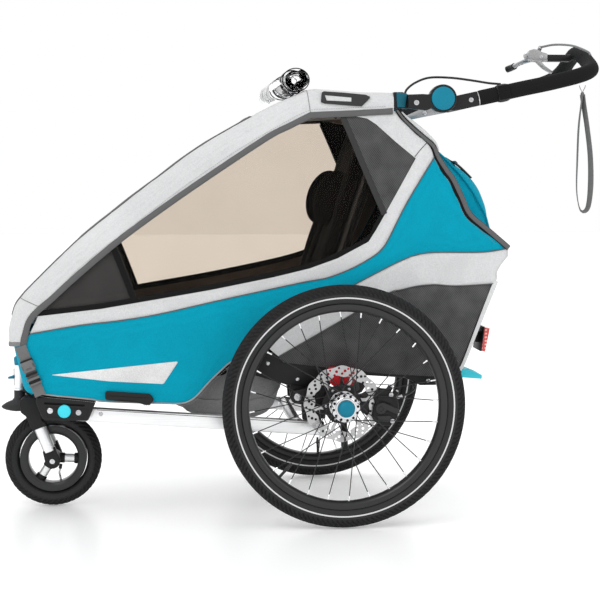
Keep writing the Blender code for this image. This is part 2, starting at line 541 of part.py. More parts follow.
# ---- seat back frame, hung from the upper frame
pivot("back_pivot", (BACK_TOP[0], 0, BACK_TOP[1]), "upper_frame_pivot")
d = Vector((KNEE[0] - BACK_TOP[0], 0, KNEE[1] - BACK_TOP[1])).normalized()
nrm = Vector((d.z, 0, -d.x))            # forwards and up
if nrm.x > 0:
    nrm = -nrm
length = sqrt((KNEE[0] - BACK_TOP[0]) ** 2 + (KNEE[1] - BACK_TOP[1]) ** 2)


def on_back(t, h, y=0.0):
    """A point t along the seat back from its pivot and h in front of it."""
    p = Vector((BACK_TOP[0], 0, BACK_TOP[1])) + d * t + nrm * h
    return (p.x, y, p.z)


def back_outline(points):
    return [(on_back(t, h)[0], on_back(t, h)[2]) for t, h in points]


TOP = (BACK_TOP[0], BACK_TOP[1])
back = rod("seat_back_frame", [(TOP[0], -0.1686, TOP[1]), (TOP[0], 0.1686, TOP[1])], 0.0095, "back_pivot", "silver_tube", 10, 1)
for side, s in SIDES:
    joined(back, rod(f"join_back_{side}", [on_back(0.0, 0, s * 0.150), on_back(length + 0.006, 0, s * 0.150)], 0.0085, "back_pivot", None, 8, 1))
cushion = prism("back_cushion", back_outline([(0.020, 0.0100), (0.022, 0.030), (0.060, 0.040), (0.400, 0.040), (0.440, 0.026), (0.442, 0.0100)]), -0.1480, 0.1480, "back_pivot", "black_lining")
joined(cushion, prism("join_headrest", back_outline([(0.040, 0.0300), (0.042, 0.070), (0.060, 0.082), (0.190, 0.080), (0.215, 0.064), (0.220, 0.0300)]), -0.105, 0.105, "back_pivot", None))

# ---- folding bail: two links on a cross rod, between the seat back frame and
# the chassis
pivot("fold_bail_axis", (LINK_FOOT[0], 0, LINK_FOOT[1]), "trailer")
ang = atan2(KNEE[1] - LINK_FOOT[1], KNEE[0] - LINK_FOOT[0]) * 180 / pi
LINK = circle(*LINK_FOOT, 0.0095, ang + 90, ang + 270, 7) + circle(*KNEE, 0.0095, ang - 90, ang + 90, 7)
bail = prism("fold_bail", LINK, -0.1600, -0.1665, "fold_bail_axis", "black_plastic")
joined(
    bail,
    rod("join_bail_rod", [(LINK_FOOT[0], -0.1620, LINK_FOOT[1]), (LINK_FOOT[0], 0.1620, LINK_FOOT[1])], 0.0060, "fold_bail_axis", None, 8, 1),
    prism("join_bail_link", LINK, 0.1600, 0.1665, "fold_bail_axis", None),
)

# ================================================================= handlebar
pivot("handlebar_pivot", (HANDLE[0], 0, HANDLE[1]), "upper_frame_pivot")
SLOPE = radians(12.4)
u = Vector((cos(SLOPE), 0, sin(SLOPE)))
w = Vector((-sin(SLOPE), 0, cos(SLOPE)))
hub = Vector((HANDLE[0], 0, HANDLE[1] - 0.0155))


def arm_point(t, h=0.0):
    p = hub + u * t + w * h
    return (p.x, p.z)


Y_ARM = 0.1885
half_bar = [(*arm_point(0.0785), Y_ARM), (*arm_point(0.120), Y_ARM), (*arm_point(0.180), Y_ARM), (0.440, 0.9130, Y_ARM), (0.492, 0.9255, 0.1870), (0.520, 0.9340, 0.1800), (0.538, 0.9420, 0.1630), (0.546, 0.9500, 0.1380), (0.550, 0.9620, 0.1000), (0.551, 0.9780, 0.0550)]
bar = [(x, -y, z) for x, z, y in half_bar] + [(0.550, 0.0, 0.9890)] + [(x, y, z) for x, z, y in half_bar[::-1]]
handlebar = rod("handlebar", bar, 0.0110, "handlebar_pivot", "silver_tube", 8, 2)
for side, s in SIDES:
    pts = circle(HANDLE[0], HANDLE[1], 0.0260, 80, 280, 11) + [arm_point(0.030, -0.0140), arm_point(0.0820, -0.0150), arm_point(0.0820, 0.0150), arm_point(0.034, 0.0150)]
    joined(handlebar, prism(f"join_socket_{side}", pts, s * 0.1760, s * 0.2007, "handlebar_pivot", None))

grip_start = [(*arm_point(0.0830), Y_ARM)] + half_bar[1:]
grip = [(x, -y, z) for x, z, y in grip_start] + [(0.550, 0.0, 0.9890)] + [(x, y, z) for x, z, y in grip_start[::-1]]
hose("foam_grip", grip, 0.0160, 0.0121, "handlebar_pivot", "foam")

# brake lever: perch on the middle of the bar, lever lying along the bar
perch = box("brake_lever_perch", (0.470, 0.5325), (-0.034, -0.012), (0.9700, 0.9850), "handlebar_pivot", "black_plastic")
joined(perch, prism("join_lever_body", [(0.448, 0.9700), (0.452, 0.9900), (0.464, 0.9980), (0.4776, 0.9920), (0.4776, 0.9640), (0.470, 0.9620)], -0.040, -0.006, "handlebar_pivot", None))
pivot("brake_lever_pivot", (0.462, 0.003, 0.978), "handlebar_pivot")
bm = bmesh.new()
stations = [(0.462, 0.0000, 0.980, 0.0070, 0.0070), (0.447, 0.012, 0.976, 0.0075, 0.0060), (0.437, 0.035, 0.972, 0.0065, 0.0055), (0.431, 0.060, 0.969, 0.0060, 0.0055), (0.424, 0.082, 0.966, 0.0060, 0.0055), (0.412, 0.098, 0.962, 0.0070, 0.0065)]
loops = []
for x, y, z, hw, hh in stations:
    loops.append([bm.verts.new((x + hw * cos(2 * pi * k / 8), y, z + hh * sin(2 * pi * k / 8))) for k in range(8)])
for a, b in zip(loops, loops[1:]):
    for k in range(8):
        bm.faces.new((a[k], a[(k + 1) % 8], b[(k + 1) % 8], b[k]))
bm.faces.new(loops[0])
bm.faces.new(loops[-1])
place(mesh_object("brake_lever", bm), "brake_lever_pivot", "silver_tube", 40)

# brake cable: lever to bar, and strap to frame
tube("lever_cable", [(0.463, -0.023, 1.0012), (0.468, -0.026, 1.0020), (0.490, -0.050, 1.0050), (0.520, -0.085, 1.0000), (0.545, -0.115, 0.9850), (0.549, -0.122, 0.9775)], 0.0024, "handlebar_pivot", "black_plastic", 1, 3)
tube("frame_cable", [(*arm_point(0.1345, 0.0150)[:1], -0.1860, arm_point(0.1345, 0.0150)[1] + 0.0040), (0.315, -0.184, 0.9130), (0.280, -0.181, 0.9185), (0.235, -0.178, 0.9240), (0.190, -0.176, 0.9240), (0.160, -0.177, 0.9130), (0.143, -0.180, 0.9000), (0.1385, -0.182, 0.8915)], 0.0024, "upper_frame_pivot", "black_plastic", 1, 3)

# wrist lanyard: a long narrow loop of webbing hanging under the left arm
LX, LY = 0.515, -0.1850
tube("wrist_lanyard", [(LX - 0.004, LY, 0.9080), (0.510, LY - 0.001, 0.880), (0.507, LY - 0.002, 0.820), (0.505, LY - 0.004, 0.750), (0.504, LY - 0.006, 0.690), (0.510, LY - 0.008, 0.652), (0.519, LY - 0.009, 0.6440), (0.529, LY - 0.008, 0.656), (0.534, LY - 0.006, 0.700), (0.533, LY - 0.004, 0.760), (0.529, LY - 0.002, 0.820), (0.523, LY - 0.001, 0.880), (LX + 0.005, LY, 0.9090)], 0.0035, "handlebar_pivot", "webbing", 1, 3)

# ================================================================= fabric
WINDOW = [(-0.625, 0.434), (-0.582, 0.466), (-0.45, 0.589), (-0.363, 0.651), (-0.268, 0.716), (-0.15, 0.792), (-0.107, 0.816), (-0.062, 0.838), (0.024, 0.842), (0.056, 0.836), (0.075, 0.825), (0.116, 0.789), (0.152, 0.757), (0.092, 0.636), (0.076, 0.608), (0.060, 0.583), (-0.004, 0.549), (-0.063, 0.528), (-0.139, 0.510), (-0.266, 0.485), (-0.373, 0.467), (-0.494, 0.447)]
SIDE = [(-0.628, 0.281), (-0.640, 0.330), (-0.652, 0.372), (-0.682, 0.378), (-0.683, 0.407), (-0.668, 0.456), (-0.624, 0.505), (-0.537, 0.589), (-0.448, 0.659), (-0.366, 0.721), (-0.291, 0.776), (-0.217, 0.822), (-0.134, 0.868), (-0.084, 0.888), (-0.029, 0.897), (0.041, 0.894), (0.107, 0.890), (0.107, 0.8555), (0.121, 0.8535), (0.153, 0.817), (0.196, 0.782), (0.237, 0.713), (0.273, 0.640), (0.336, 0.586), (0.356, 0.567), (0.334, 0.520), (0.326, 0.494), (0.262, 0.322), (0.245, 0.303), (0.10, 0.311), (-0.02, 0.325), (-0.119, 0.336), (-0.127, 0.3545), (-0.164, 0.3545), (-0.215, 0.340), (-0.262, 0.300), (-0.295, 0.262), (-0.365, 0.250), (-0.500, 0.2560), (-0.512, 0.2595), (-0.608, 0.271)]
for side, s in SIDES:
    panel = prism(f"{side}_side_panel", SIDE, s * BODY, s * (BODY + CLOTH), "trailer", "teal_fabric")
    boolean(panel, prism(f"cut_window_{side}", WINDOW, s * (BODY - 0.01), s * (BODY + CLOTH + 0.01), "trailer", None))
    prism(f"{side}_side_window", WINDOW, s * 0.1962, s * 0.1996, "trailer", "clear_sheet")
reflector = prism("rear_reflector", [(0.3540, 0.3830), (0.3440, 0.3310), (0.3350, 0.3345), (0.3420, 0.3850)], -0.040, 0.040, "trailer", "red_lens")
joined(reflector, prism("join_reflector_base", [(0.3040, 0.3880), (0.2980, 0.3530), (0.3400, 0.3500), (0.3450, 0.3700)], -0.016, 0.016, "trailer", None))

COVER = [(-0.680, 0.378), (-0.683, 0.407), (-0.668, 0.456), (-0.624, 0.505), (-0.537, 0.589), (-0.448, 0.659), (-0.366, 0.721), (-0.291, 0.776), (-0.217, 0.822), (-0.134, 0.868), (-0.084, 0.888), (-0.029, 0.897), (0.041, 0.894), (0.107, 0.890)]
cover = prism("front_cover", ribbon_outline(COVER, 0.006), -0.1995, 0.1995, "upper_frame_pivot", "grey_fabric")
boolean(cover, prism("cut_cover", [(-0.720, 0.450), (-0.672, 0.428), (-0.640, 0.440), (-0.18, 0.800), (-0.200, 0.900)], -0.150, 0.150, "upper_frame_pivot", None))
joined(cover, prism("join_front_mesh", ribbon_outline([(-0.6815, 0.3930), (-0.6800, 0.4070), (-0.6660, 0.4540), (-0.6220, 0.5020), (-0.5350, 0.5860), (-0.4460, 0.6560), (-0.3640, 0.7180), (-0.2890, 0.7730), (-0.2150, 0.8190), (-0.1800, 0.8390)], 0.0025), -0.1600, 0.1600, "upper_frame_pivot", None))
tube("rolled_rain_cover", [(-0.095, -0.185, 0.9165), (-0.095, 0.185, 0.9165)], 0.0245, "upper_frame_pivot", "clear_sheet", 3, 1)

REAR = [(0.112, 0.8550), (0.121, 0.8530), (0.153, 0.817), (0.196, 0.782), (0.237, 0.713), (0.273, 0.640), (0.336, 0.586), (0.354, 0.569)]
rear = prism("rear_cover", ribbon_outline(REAR, 0.005), -0.1995, 0.1995, "trailer", "grey_fabric")
joined(
    rear,
    prism("join_rear_panel", ribbon_outline([(0.3560, 0.5670), (0.334, 0.520), (0.326, 0.494), (0.262, 0.322), (0.2480, 0.3060)], 0.005), -0.1995, 0.1995, "trailer", None),
    prism("join_pocket", [(0.2010, 0.7760), (0.2160, 0.7850), (0.2480, 0.7770), (0.287, 0.7430), (0.319, 0.717), (0.340, 0.684), (0.351, 0.650), (0.350, 0.600), (0.3420, 0.5800), (0.2730, 0.6380), (0.2360, 0.7120)], -0.120, 0.120, "trailer", None),
)

# holder for the stowed drawbar, on the left side only
prism("drawbar_holder", [(-0.487, 0.278), (-0.393, 0.271), (-0.387, 0.260), (-0.395, 0.248), (-0.405, 0.2480), (-0.420, 0.2530), (-0.487, 0.260)], -(BODY + CLOTH + 0.0004), -(BODY + CLOTH + 0.0090), "trailer", "black_plastic", 0.0015)
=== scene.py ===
from math import atan2, cos, hypot, pi, radians, sin, sqrt

import bmesh
import bpy
from mathutils import Matrix, Vector, noise
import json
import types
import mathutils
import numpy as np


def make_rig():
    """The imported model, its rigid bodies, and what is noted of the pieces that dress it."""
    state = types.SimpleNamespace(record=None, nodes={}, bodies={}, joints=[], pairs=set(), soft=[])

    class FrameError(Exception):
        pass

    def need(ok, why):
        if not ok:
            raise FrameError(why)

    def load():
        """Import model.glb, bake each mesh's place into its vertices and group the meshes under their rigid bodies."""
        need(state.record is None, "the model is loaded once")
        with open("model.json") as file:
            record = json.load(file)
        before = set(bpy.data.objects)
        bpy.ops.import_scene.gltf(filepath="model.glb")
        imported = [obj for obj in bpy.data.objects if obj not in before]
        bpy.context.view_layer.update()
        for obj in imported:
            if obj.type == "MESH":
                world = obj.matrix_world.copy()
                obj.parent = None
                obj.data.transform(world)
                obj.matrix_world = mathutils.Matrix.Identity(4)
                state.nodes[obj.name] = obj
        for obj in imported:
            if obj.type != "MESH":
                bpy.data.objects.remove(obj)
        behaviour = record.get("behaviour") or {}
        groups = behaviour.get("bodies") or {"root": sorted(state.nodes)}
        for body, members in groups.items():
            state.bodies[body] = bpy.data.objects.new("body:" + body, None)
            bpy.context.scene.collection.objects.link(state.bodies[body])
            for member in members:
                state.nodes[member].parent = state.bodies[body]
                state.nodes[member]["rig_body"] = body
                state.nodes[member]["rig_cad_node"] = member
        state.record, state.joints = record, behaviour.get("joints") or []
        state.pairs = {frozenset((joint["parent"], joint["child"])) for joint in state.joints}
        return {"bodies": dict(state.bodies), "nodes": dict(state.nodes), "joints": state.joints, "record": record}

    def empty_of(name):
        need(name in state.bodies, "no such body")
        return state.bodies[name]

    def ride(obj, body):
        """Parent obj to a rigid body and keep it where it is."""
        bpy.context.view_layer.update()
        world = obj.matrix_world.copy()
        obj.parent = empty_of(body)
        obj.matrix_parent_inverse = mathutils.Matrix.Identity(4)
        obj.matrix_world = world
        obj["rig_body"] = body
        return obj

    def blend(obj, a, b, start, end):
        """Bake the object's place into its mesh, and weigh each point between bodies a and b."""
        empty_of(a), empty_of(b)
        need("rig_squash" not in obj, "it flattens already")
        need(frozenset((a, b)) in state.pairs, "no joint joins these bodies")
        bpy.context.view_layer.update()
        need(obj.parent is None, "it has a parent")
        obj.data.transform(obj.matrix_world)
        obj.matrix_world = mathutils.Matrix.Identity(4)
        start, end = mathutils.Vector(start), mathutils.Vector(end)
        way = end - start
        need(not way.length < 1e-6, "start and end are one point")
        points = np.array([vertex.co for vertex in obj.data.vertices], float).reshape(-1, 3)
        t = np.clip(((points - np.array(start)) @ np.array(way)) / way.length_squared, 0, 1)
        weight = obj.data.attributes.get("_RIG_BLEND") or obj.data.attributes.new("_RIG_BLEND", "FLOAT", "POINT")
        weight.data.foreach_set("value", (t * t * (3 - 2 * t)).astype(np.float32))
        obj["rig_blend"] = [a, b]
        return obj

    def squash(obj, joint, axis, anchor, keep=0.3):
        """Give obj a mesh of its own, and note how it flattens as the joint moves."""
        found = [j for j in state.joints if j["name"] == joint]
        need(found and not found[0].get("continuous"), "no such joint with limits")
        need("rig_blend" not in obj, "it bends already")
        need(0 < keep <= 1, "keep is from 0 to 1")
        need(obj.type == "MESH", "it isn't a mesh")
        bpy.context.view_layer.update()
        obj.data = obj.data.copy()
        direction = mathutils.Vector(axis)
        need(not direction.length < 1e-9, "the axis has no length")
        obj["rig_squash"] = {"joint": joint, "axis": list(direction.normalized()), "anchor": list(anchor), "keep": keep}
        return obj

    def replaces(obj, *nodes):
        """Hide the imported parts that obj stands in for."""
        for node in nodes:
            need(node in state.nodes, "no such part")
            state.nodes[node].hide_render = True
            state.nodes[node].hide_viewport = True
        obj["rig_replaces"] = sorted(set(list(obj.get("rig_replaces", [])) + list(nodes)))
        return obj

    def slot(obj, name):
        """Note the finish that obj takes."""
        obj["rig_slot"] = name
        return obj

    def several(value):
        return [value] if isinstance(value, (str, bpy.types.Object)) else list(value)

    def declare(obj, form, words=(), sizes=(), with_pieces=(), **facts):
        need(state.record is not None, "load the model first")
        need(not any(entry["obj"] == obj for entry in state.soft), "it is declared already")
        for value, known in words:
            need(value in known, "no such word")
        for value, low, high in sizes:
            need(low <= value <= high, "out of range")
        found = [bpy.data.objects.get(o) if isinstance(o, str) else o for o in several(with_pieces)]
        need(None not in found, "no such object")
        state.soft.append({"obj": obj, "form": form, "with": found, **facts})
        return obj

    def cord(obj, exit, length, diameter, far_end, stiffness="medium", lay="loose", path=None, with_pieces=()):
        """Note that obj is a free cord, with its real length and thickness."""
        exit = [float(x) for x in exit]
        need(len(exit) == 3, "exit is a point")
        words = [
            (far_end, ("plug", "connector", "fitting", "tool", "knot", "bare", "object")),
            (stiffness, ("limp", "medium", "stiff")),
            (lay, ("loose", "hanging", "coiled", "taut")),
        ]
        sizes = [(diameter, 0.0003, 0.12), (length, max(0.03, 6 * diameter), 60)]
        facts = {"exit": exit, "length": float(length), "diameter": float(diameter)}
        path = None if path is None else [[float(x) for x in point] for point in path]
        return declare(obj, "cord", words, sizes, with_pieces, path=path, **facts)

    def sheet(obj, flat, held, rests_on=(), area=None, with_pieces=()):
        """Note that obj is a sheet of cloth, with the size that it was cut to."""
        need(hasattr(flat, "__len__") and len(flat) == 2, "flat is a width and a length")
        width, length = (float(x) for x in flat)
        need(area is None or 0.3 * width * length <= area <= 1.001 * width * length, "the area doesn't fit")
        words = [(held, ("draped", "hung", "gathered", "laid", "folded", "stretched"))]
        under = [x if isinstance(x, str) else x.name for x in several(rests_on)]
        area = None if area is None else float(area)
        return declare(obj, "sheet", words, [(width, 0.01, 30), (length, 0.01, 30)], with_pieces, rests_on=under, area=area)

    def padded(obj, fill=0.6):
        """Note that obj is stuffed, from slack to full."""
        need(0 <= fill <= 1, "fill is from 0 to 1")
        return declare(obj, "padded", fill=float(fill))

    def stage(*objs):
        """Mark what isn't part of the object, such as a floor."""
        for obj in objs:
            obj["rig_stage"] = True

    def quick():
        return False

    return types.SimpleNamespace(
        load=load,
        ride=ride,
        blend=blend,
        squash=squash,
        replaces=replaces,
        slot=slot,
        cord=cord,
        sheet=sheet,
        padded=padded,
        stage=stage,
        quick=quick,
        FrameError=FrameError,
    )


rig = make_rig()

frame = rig.load()
NODES = frame["nodes"]
DX = 0.0753            # rear axle to the origin
SIDES = (("left", -1), ("right", 1))
scene = bpy.context.scene


# =============================================================== node materials
def new_mat(name, colour, rough=0.5, metal=0.0, **sockets):
    m = bpy.data.materials.new(name)
    m.use_nodes = True
    b = m.node_tree.nodes["Principled BSDF"]
    b.inputs["Base Color"].default_value = (*colour, 1)
    b.inputs["Roughness"].default_value = rough
    b.inputs["Metallic"].default_value = metal
    for k, v in sockets.items():
        b.inputs[k.replace("_", " ")].default_value = v
    m.diffuse_color = (*colour, 1)
    return m


class Nodes:
    """Small helper that wires procedural textures into a Principled shader."""

    def __init__(self, mat):
        self.nt = mat.node_tree
        self.b = self.nt.nodes["Principled BSDF"]
        self.coord = self.nt.nodes.new("ShaderNodeTexCoord").outputs["Object"]

    def mapped(self, scale=(1, 1, 1), rot=(0, 0, 0)):
        n = self.nt.nodes.new("ShaderNodeMapping")
        n.inputs["Scale"].default_value = scale
        n.inputs["Rotation"].default_value = rot
        self.nt.links.new(self.coord, n.inputs["Vector"])
        return n.outputs["Vector"]

    def noise(self, scale, detail=2.0, rough=0.5, vec=None):
        n = self.nt.nodes.new("ShaderNodeTexNoise")
        n.inputs["Scale"].default_value = scale
        n.inputs["Detail"].default_value = detail
        n.inputs["Roughness"].default_value = rough
        self.nt.links.new(vec or self.coord, n.inputs["Vector"])
        return n.outputs["Fac"]

    def wave(self, pitch, axis="X", distortion=0.0, vec=None, shape="SIN"):
        n = self.nt.nodes.new("ShaderNodeTexWave")
        n.bands_direction = axis
        n.wave_profile = shape
        n.inputs["Scale"].default_value = pi / (10.0 * pitch)
        n.inputs["Distortion"].default_value = distortion
        self.nt.links.new(vec or self.coord, n.inputs["Vector"])
        return n.outputs["Fac"]

    def voronoi(self, scale, vec=None, feature="F1"):
        n = self.nt.nodes.new("ShaderNodeTexVoronoi")
        n.feature = feature
        n.inputs["Scale"].default_value = scale
        self.nt.links.new(vec or self.coord, n.inputs["Vector"])
        return n.outputs["Distance"]

    def math(self, op, a, b=None, c=None):
        n = self.nt.nodes.new("ShaderNodeMath")
        n.operation = op
        for i, v in enumerate((a, b, c)):
            if v is None:
                continue
            if isinstance(v, (int, float)):
                n.inputs[i].default_value = v
            else:
                self.nt.links.new(v, n.inputs[i])
        return n.outputs[0]

    def ramp(self, fac, stops):
        n = self.nt.nodes.new("ShaderNodeValToRGB")
        r = n.color_ramp
        r.elements[0].position, r.elements[0].color = stops[0][0], (*stops[0][1], 1)
        r.elements[1].position, r.elements[1].color = stops[-1][0], (*stops[-1][1], 1)
        for p, c in stops[1:-1]:
            r.elements.new(p).color = (*c, 1)
        self.nt.links.new(fac, n.inputs["Fac"])
        return n.outputs["Color"]

    def mix(self, fac, a, b, mode="MIX"):
        n = self.nt.nodes.new("ShaderNodeMix")
        n.data_type = "RGBA"
        n.blend_type = mode
        for sock, v in ((n.inputs[0], fac), (n.inputs[6], a), (n.inputs[7], b)):
            if isinstance(v, (int, float)):
                sock.default_value = v
            elif isinstance(v, tuple):
                sock.default_value = (*v, 1)
            else:
                self.nt.links.new(v, sock)
        return n.outputs[2]

    def colour(self, c):
        self.nt.links.new(c, self.b.inputs["Base Color"])

    def roughness(self, fac, low, high):
        n = self.nt.nodes.new("ShaderNodeMapRange")
        n.inputs["To Min"].default_value = low
        n.inputs["To Max"].default_value = high
        self.nt.links.new(fac, n.inputs["Value"])
        self.nt.links.new(n.outputs[0], self.b.inputs["Roughness"])

    def bump(self, height, strength=0.3, distance=0.0005):
        n = self.nt.nodes.new("ShaderNodeBump")
        n.inputs["Strength"].default_value = strength
        n.inputs["Distance"].default_value = distance
        self.nt.links.new(height, n.inputs["Height"])
        self.nt.links.new(n.outputs["Normal"], self.b.inputs["Normal"])

    def alpha(self, fac):
        self.nt.links.new(fac, self.b.inputs["Alpha"])


def scaled(c, k):
    return tuple(min(1.0, v * k) for v in c)


def heather(name, base, light, dark, weave=0.0011, sheen=0.25, flecks=0.5):
    """Plain-weave polyester of mixed yarns: two yarn directions, flecks and a soft
    large-scale variation."""
    m = new_mat(name, base, 0.9, 0.0, Sheen_Weight=sheen, Sheen_Roughness=0.5, Specular_IOR_Level=0.1)
    n = Nodes(m)
    across = n.noise(1.0, 2.0, 0.6, n.mapped((240, 700, 900)))
    along = n.noise(1.0, 2.0, 0.6, n.mapped((900, 700, 240)))
    yarn = n.math("MULTIPLY", n.math("ADD", across, along), 0.5)
    flat = n.ramp(yarn, [(0.5 - 0.16 * flecks / 0.5, dark), (0.5, base), (0.5 + 0.16 * flecks / 0.5, light)])
    wide = n.noise(7.0, 3.0)
    n.colour(n.mix(0.16, flat, n.ramp(wide, [(0.35, scaled(base, 0.80)), (0.65, scaled(base, 1.18))])))
    weaving = n.math("ADD", n.math("MULTIPLY", n.wave(weave, "X"), n.wave(weave, "Z")), n.math("MULTIPLY", n.wave(weave, "X"), n.wave(weave, "Y")))
    n.bump(n.math("ADD", weaving, n.math("MULTIPLY", yarn, 1.3)), 0.55, 0.0004)
    n.roughness(yarn, 0.82, 0.98)
    return m


def carbon_cloth(name, low, high, pitch=0.0034):
    """Coated mesh with a diagonal twill figure."""
    m = new_mat(name, low, 0.55, 0.0, Specular_IOR_Level=0.25)
    n = Nodes(m)
    v = n.mapped((1, 1, 1), (0, radians(38), 0))
    a, b = n.wave(pitch, "X", 0, v), n.wave(pitch * 0.62, "Z", 0, v)
    cell = n.math("MULTIPLY", a, b)
    n.colour(n.mix(0.25, n.ramp(cell, [(0.12, low), (0.62, high)]), n.ramp(n.noise(30, 3), [(0.3, scaled(low, 0.8)), (0.7, scaled(high, 1.1))])))
    n.bump(cell, 0.5, 0.0005)
    n.roughness(cell, 0.62, 0.42)
    return m


def plain_cloth(name, base, weave=0.0013, sheen=0.03, rough=0.92, speck=0.25):
    m = new_mat(name, base, rough, 0.0, Sheen_Weight=sheen, Specular_IOR_Level=0.1)
    n = Nodes(m)
    fine = n.noise(900, 3)
    n.colour(n.mix(0.5, n.ramp(fine, [(0.35, scaled(base, 1 - speck)), (0.65, scaled(base, 1 + speck))]), n.ramp(n.noise(12, 3), [(0.35, scaled(base, 0.78)), (0.65, scaled(base, 1.22))])))
    weaving = n.math("ADD", n.math("MULTIPLY", n.wave(weave, "X"), n.wave(weave, "Z")), n.wave(weave, "Y"))
    n.bump(n.math("ADD", weaving, fine), 0.5, 0.0004)
    return m


def ribbed(name, base, pitch=0.0022, axis="X", rough=0.8):
    """Woven webbing or binding tape."""
    m = new_mat(name, base, rough, 0.0, Sheen_Weight=0.05, Specular_IOR_Level=0.15)
    n = Nodes(m)
    rib = n.wave(pitch, axis, 0.6)
    fine = n.noise(1300, 2)
    n.colour(n.mix(0.45, n.ramp(rib, [(0.2, scaled(base, 0.72)), (0.8, scaled(base, 1.2))]), n.ramp(fine, [(0.3, scaled(base, 0.75)), (0.7, scaled(base, 1.2))])))
    n.bump(n.math("ADD", rib, n.math("MULTIPLY", fine, 0.7)), 0.6, 0.0005)
    return m


def moulded(name, base, rough=0.45, grain=0.25, coat=0.0):
    """Injection-moulded plastic: fine erosion grain, faint flow marks."""
    m = new_mat(name, base, rough, 0.0, Coat_Weight=coat, Specular_IOR_Level=0.24)
    n = Nodes(m)
    fine = n.noise(2600, 2)
    wide = n.noise(22, 4)
    n.colour(n.mix(0.5, n.ramp(wide, [(0.3, scaled(base, 0.85)), (0.7, scaled(base, 1.15))]), n.ramp(fine, [(0.3, scaled(base, 0.88)), (0.7, scaled(base, 1.14))])))
    n.roughness(n.math("ADD", n.math("MULTIPLY", fine, 0.5), n.math("MULTIPLY", wide, 0.5)), rough - 0.08, rough + 0.10)
    n.bump(fine, grain, 0.00012)
    return m


def metal(name, base, rough=0.3, brush="X", depth=0.15, metallic=1.0):
    """Drawn or brushed metal, with streaks along one axis."""
    m = new_mat(name, base, rough, metallic, Specular_IOR_Level=0.5)
    n = Nodes(m)
    s = {"X": (6, 500, 500), "Y": (500, 6, 500), "Z": (500, 500, 6), "": (300, 300, 300)}[brush]
    streak = n.noise(1.0, 3, 0.6, n.mapped(s))
    wide = n.noise(9, 3)
    n.colour(n.mix(0.4, n.ramp(streak, [(0.3, scaled(base, 0.9)), (0.7, scaled(base, 1.06))]), n.ramp(wide, [(0.3, scaled(base, 0.93)), (0.7, scaled(base, 1.05))])))
    n.roughness(streak, max(0.05, rough - 0.07), rough + 0.09)
    n.bump(streak, depth, 0.0001)
    return m


def rubber(name, base, rough=0.75, dust=(0.05, 0.05, 0.05)):
    m = new_mat(name, base, rough, 0.0, Specular_IOR_Level=0.16)
    n = Nodes(m)
    fine = n.noise(1800, 3)
    wide = n.noise(16, 4)
    n.colour(n.mix(n.math("MULTIPLY", wide, 0.5), n.ramp(fine, [(0.3, scaled(base, 0.8)), (0.7, scaled(base, 1.25))]), dust))
    n.roughness(wide, rough - 0.1, rough + 0.15)
    n.bump(fine, 0.35, 0.0002)
    return m


def clear(name, tint, rough=0.03, ior=1.12):
    """Soft clear sheet: faint haze and waviness."""
    m = new_mat(name, tint, rough, 0.0, Transmission_Weight=1.0, IOR=ior, Specular_IOR_Level=0.5)
    n = Nodes(m)
    n.bump(n.noise(9, 2), 0.05, 0.002)
    n.colour(n.ramp(n.noise(5, 2), [(0.3, scaled(tint, 0.97)), (0.7, scaled(tint, 1.02))]))
    return m


TEAL = heather("teal_heather", (0.000, 0.305, 0.435), (0.000, 0.345, 0.485), (0.000, 0.262, 0.378), sheen=0.03)
GREY = heather("light_grey_heather", (0.620, 0.625, 0.630), (0.700, 0.705, 0.710), (0.540, 0.545, 0.552), sheen=0.04)
POUCH = heather("mid_grey_heather", (0.215, 0.215, 0.217), (0.31, 0.31, 0.313), (0.130, 0.130, 0.133), flecks=0.8, sheen=0.05)
CARBON = carbon_cloth("dark_coated_mesh", (0.022, 0.022, 0.023), (0.122, 0.122, 0.124))
FINE = carbon_cloth("coated_front_mesh", (0.036, 0.036, 0.037), (0.078, 0.078, 0.080), 0.0052)
LINING = plain_cloth("black_lining", (0.006, 0.0055, 0.0052))
PAD = plain_cloth("padded_black_cloth", (0.0050, 0.0042, 0.0038), 0.0018)
BROWN = plain_cloth("lining_binding", (0.165, 0.122, 0.098))
PIPING = ribbed("dark_grey_binding", (0.118, 0.118, 0.120), 0.0016, "X")
TAPE = ribbed("black_binding", (0.0055, 0.0055, 0.0055), 0.0016, "X")
WEB = ribbed("grey_webbing", (0.155, 0.155, 0.155), 0.0024, "Z")
WEBX = ribbed("dark_webbing", (0.040, 0.040, 0.040), 0.0024, "X")
STITCH = plain_cloth("stitching_grey", (0.30, 0.30, 0.30), 0.0006)
STITCH_W = plain_cloth("stitching_white", (0.74, 0.74, 0.74), 0.0006)
BLACK = moulded("black_moulded", (0.0105, 0.0105, 0.0108), 0.42)
DARK = moulded("charcoal_moulded", (0.030, 0.030, 0.031), 0.5)
SATIN = moulded("satin_black_paint", (0.019, 0.019, 0.0195), 0.32, 0.1, 0.25)
TEALP = moulded("teal_moulded", (0.000, 0.175, 0.265), 0.45, 0.4)
TEALB = moulded("bright_teal_moulded", (0.050, 0.620, 0.740), 0.40, 0.4)
TEALD = moulded("dark_teal_moulded", (0.001, 0.098, 0.142), 0.52, 0.3)
BUCKLE = moulded("grey_buckle", (0.14, 0.14, 0.14), 0.4)
TYRE = rubber("tyre_rubber", (0.016, 0.016, 0.0165), 0.78, (0.030, 0.030, 0.030))
SIDEWALL = rubber("sidewall_rubber", (0.026, 0.026, 0.0265), 0.7, (0.042, 0.042, 0.042))
FOAM = rubber("foam_grip_rubber", (0.0075, 0.0075, 0.0075), 0.9, (0.012, 0.012, 0.012))
ELASTOMER = rubber("red_elastomer", (0.62, 0.020, 0.030), 0.4, (0.50, 0.015, 0.024))
CABLE = moulded("cable_jacket", (0.020, 0.020, 0.020), 0.35, 0.05)
CABLEG = moulded("grey_cable_jacket", (0.20, 0.20, 0.20), 0.35, 0.05)
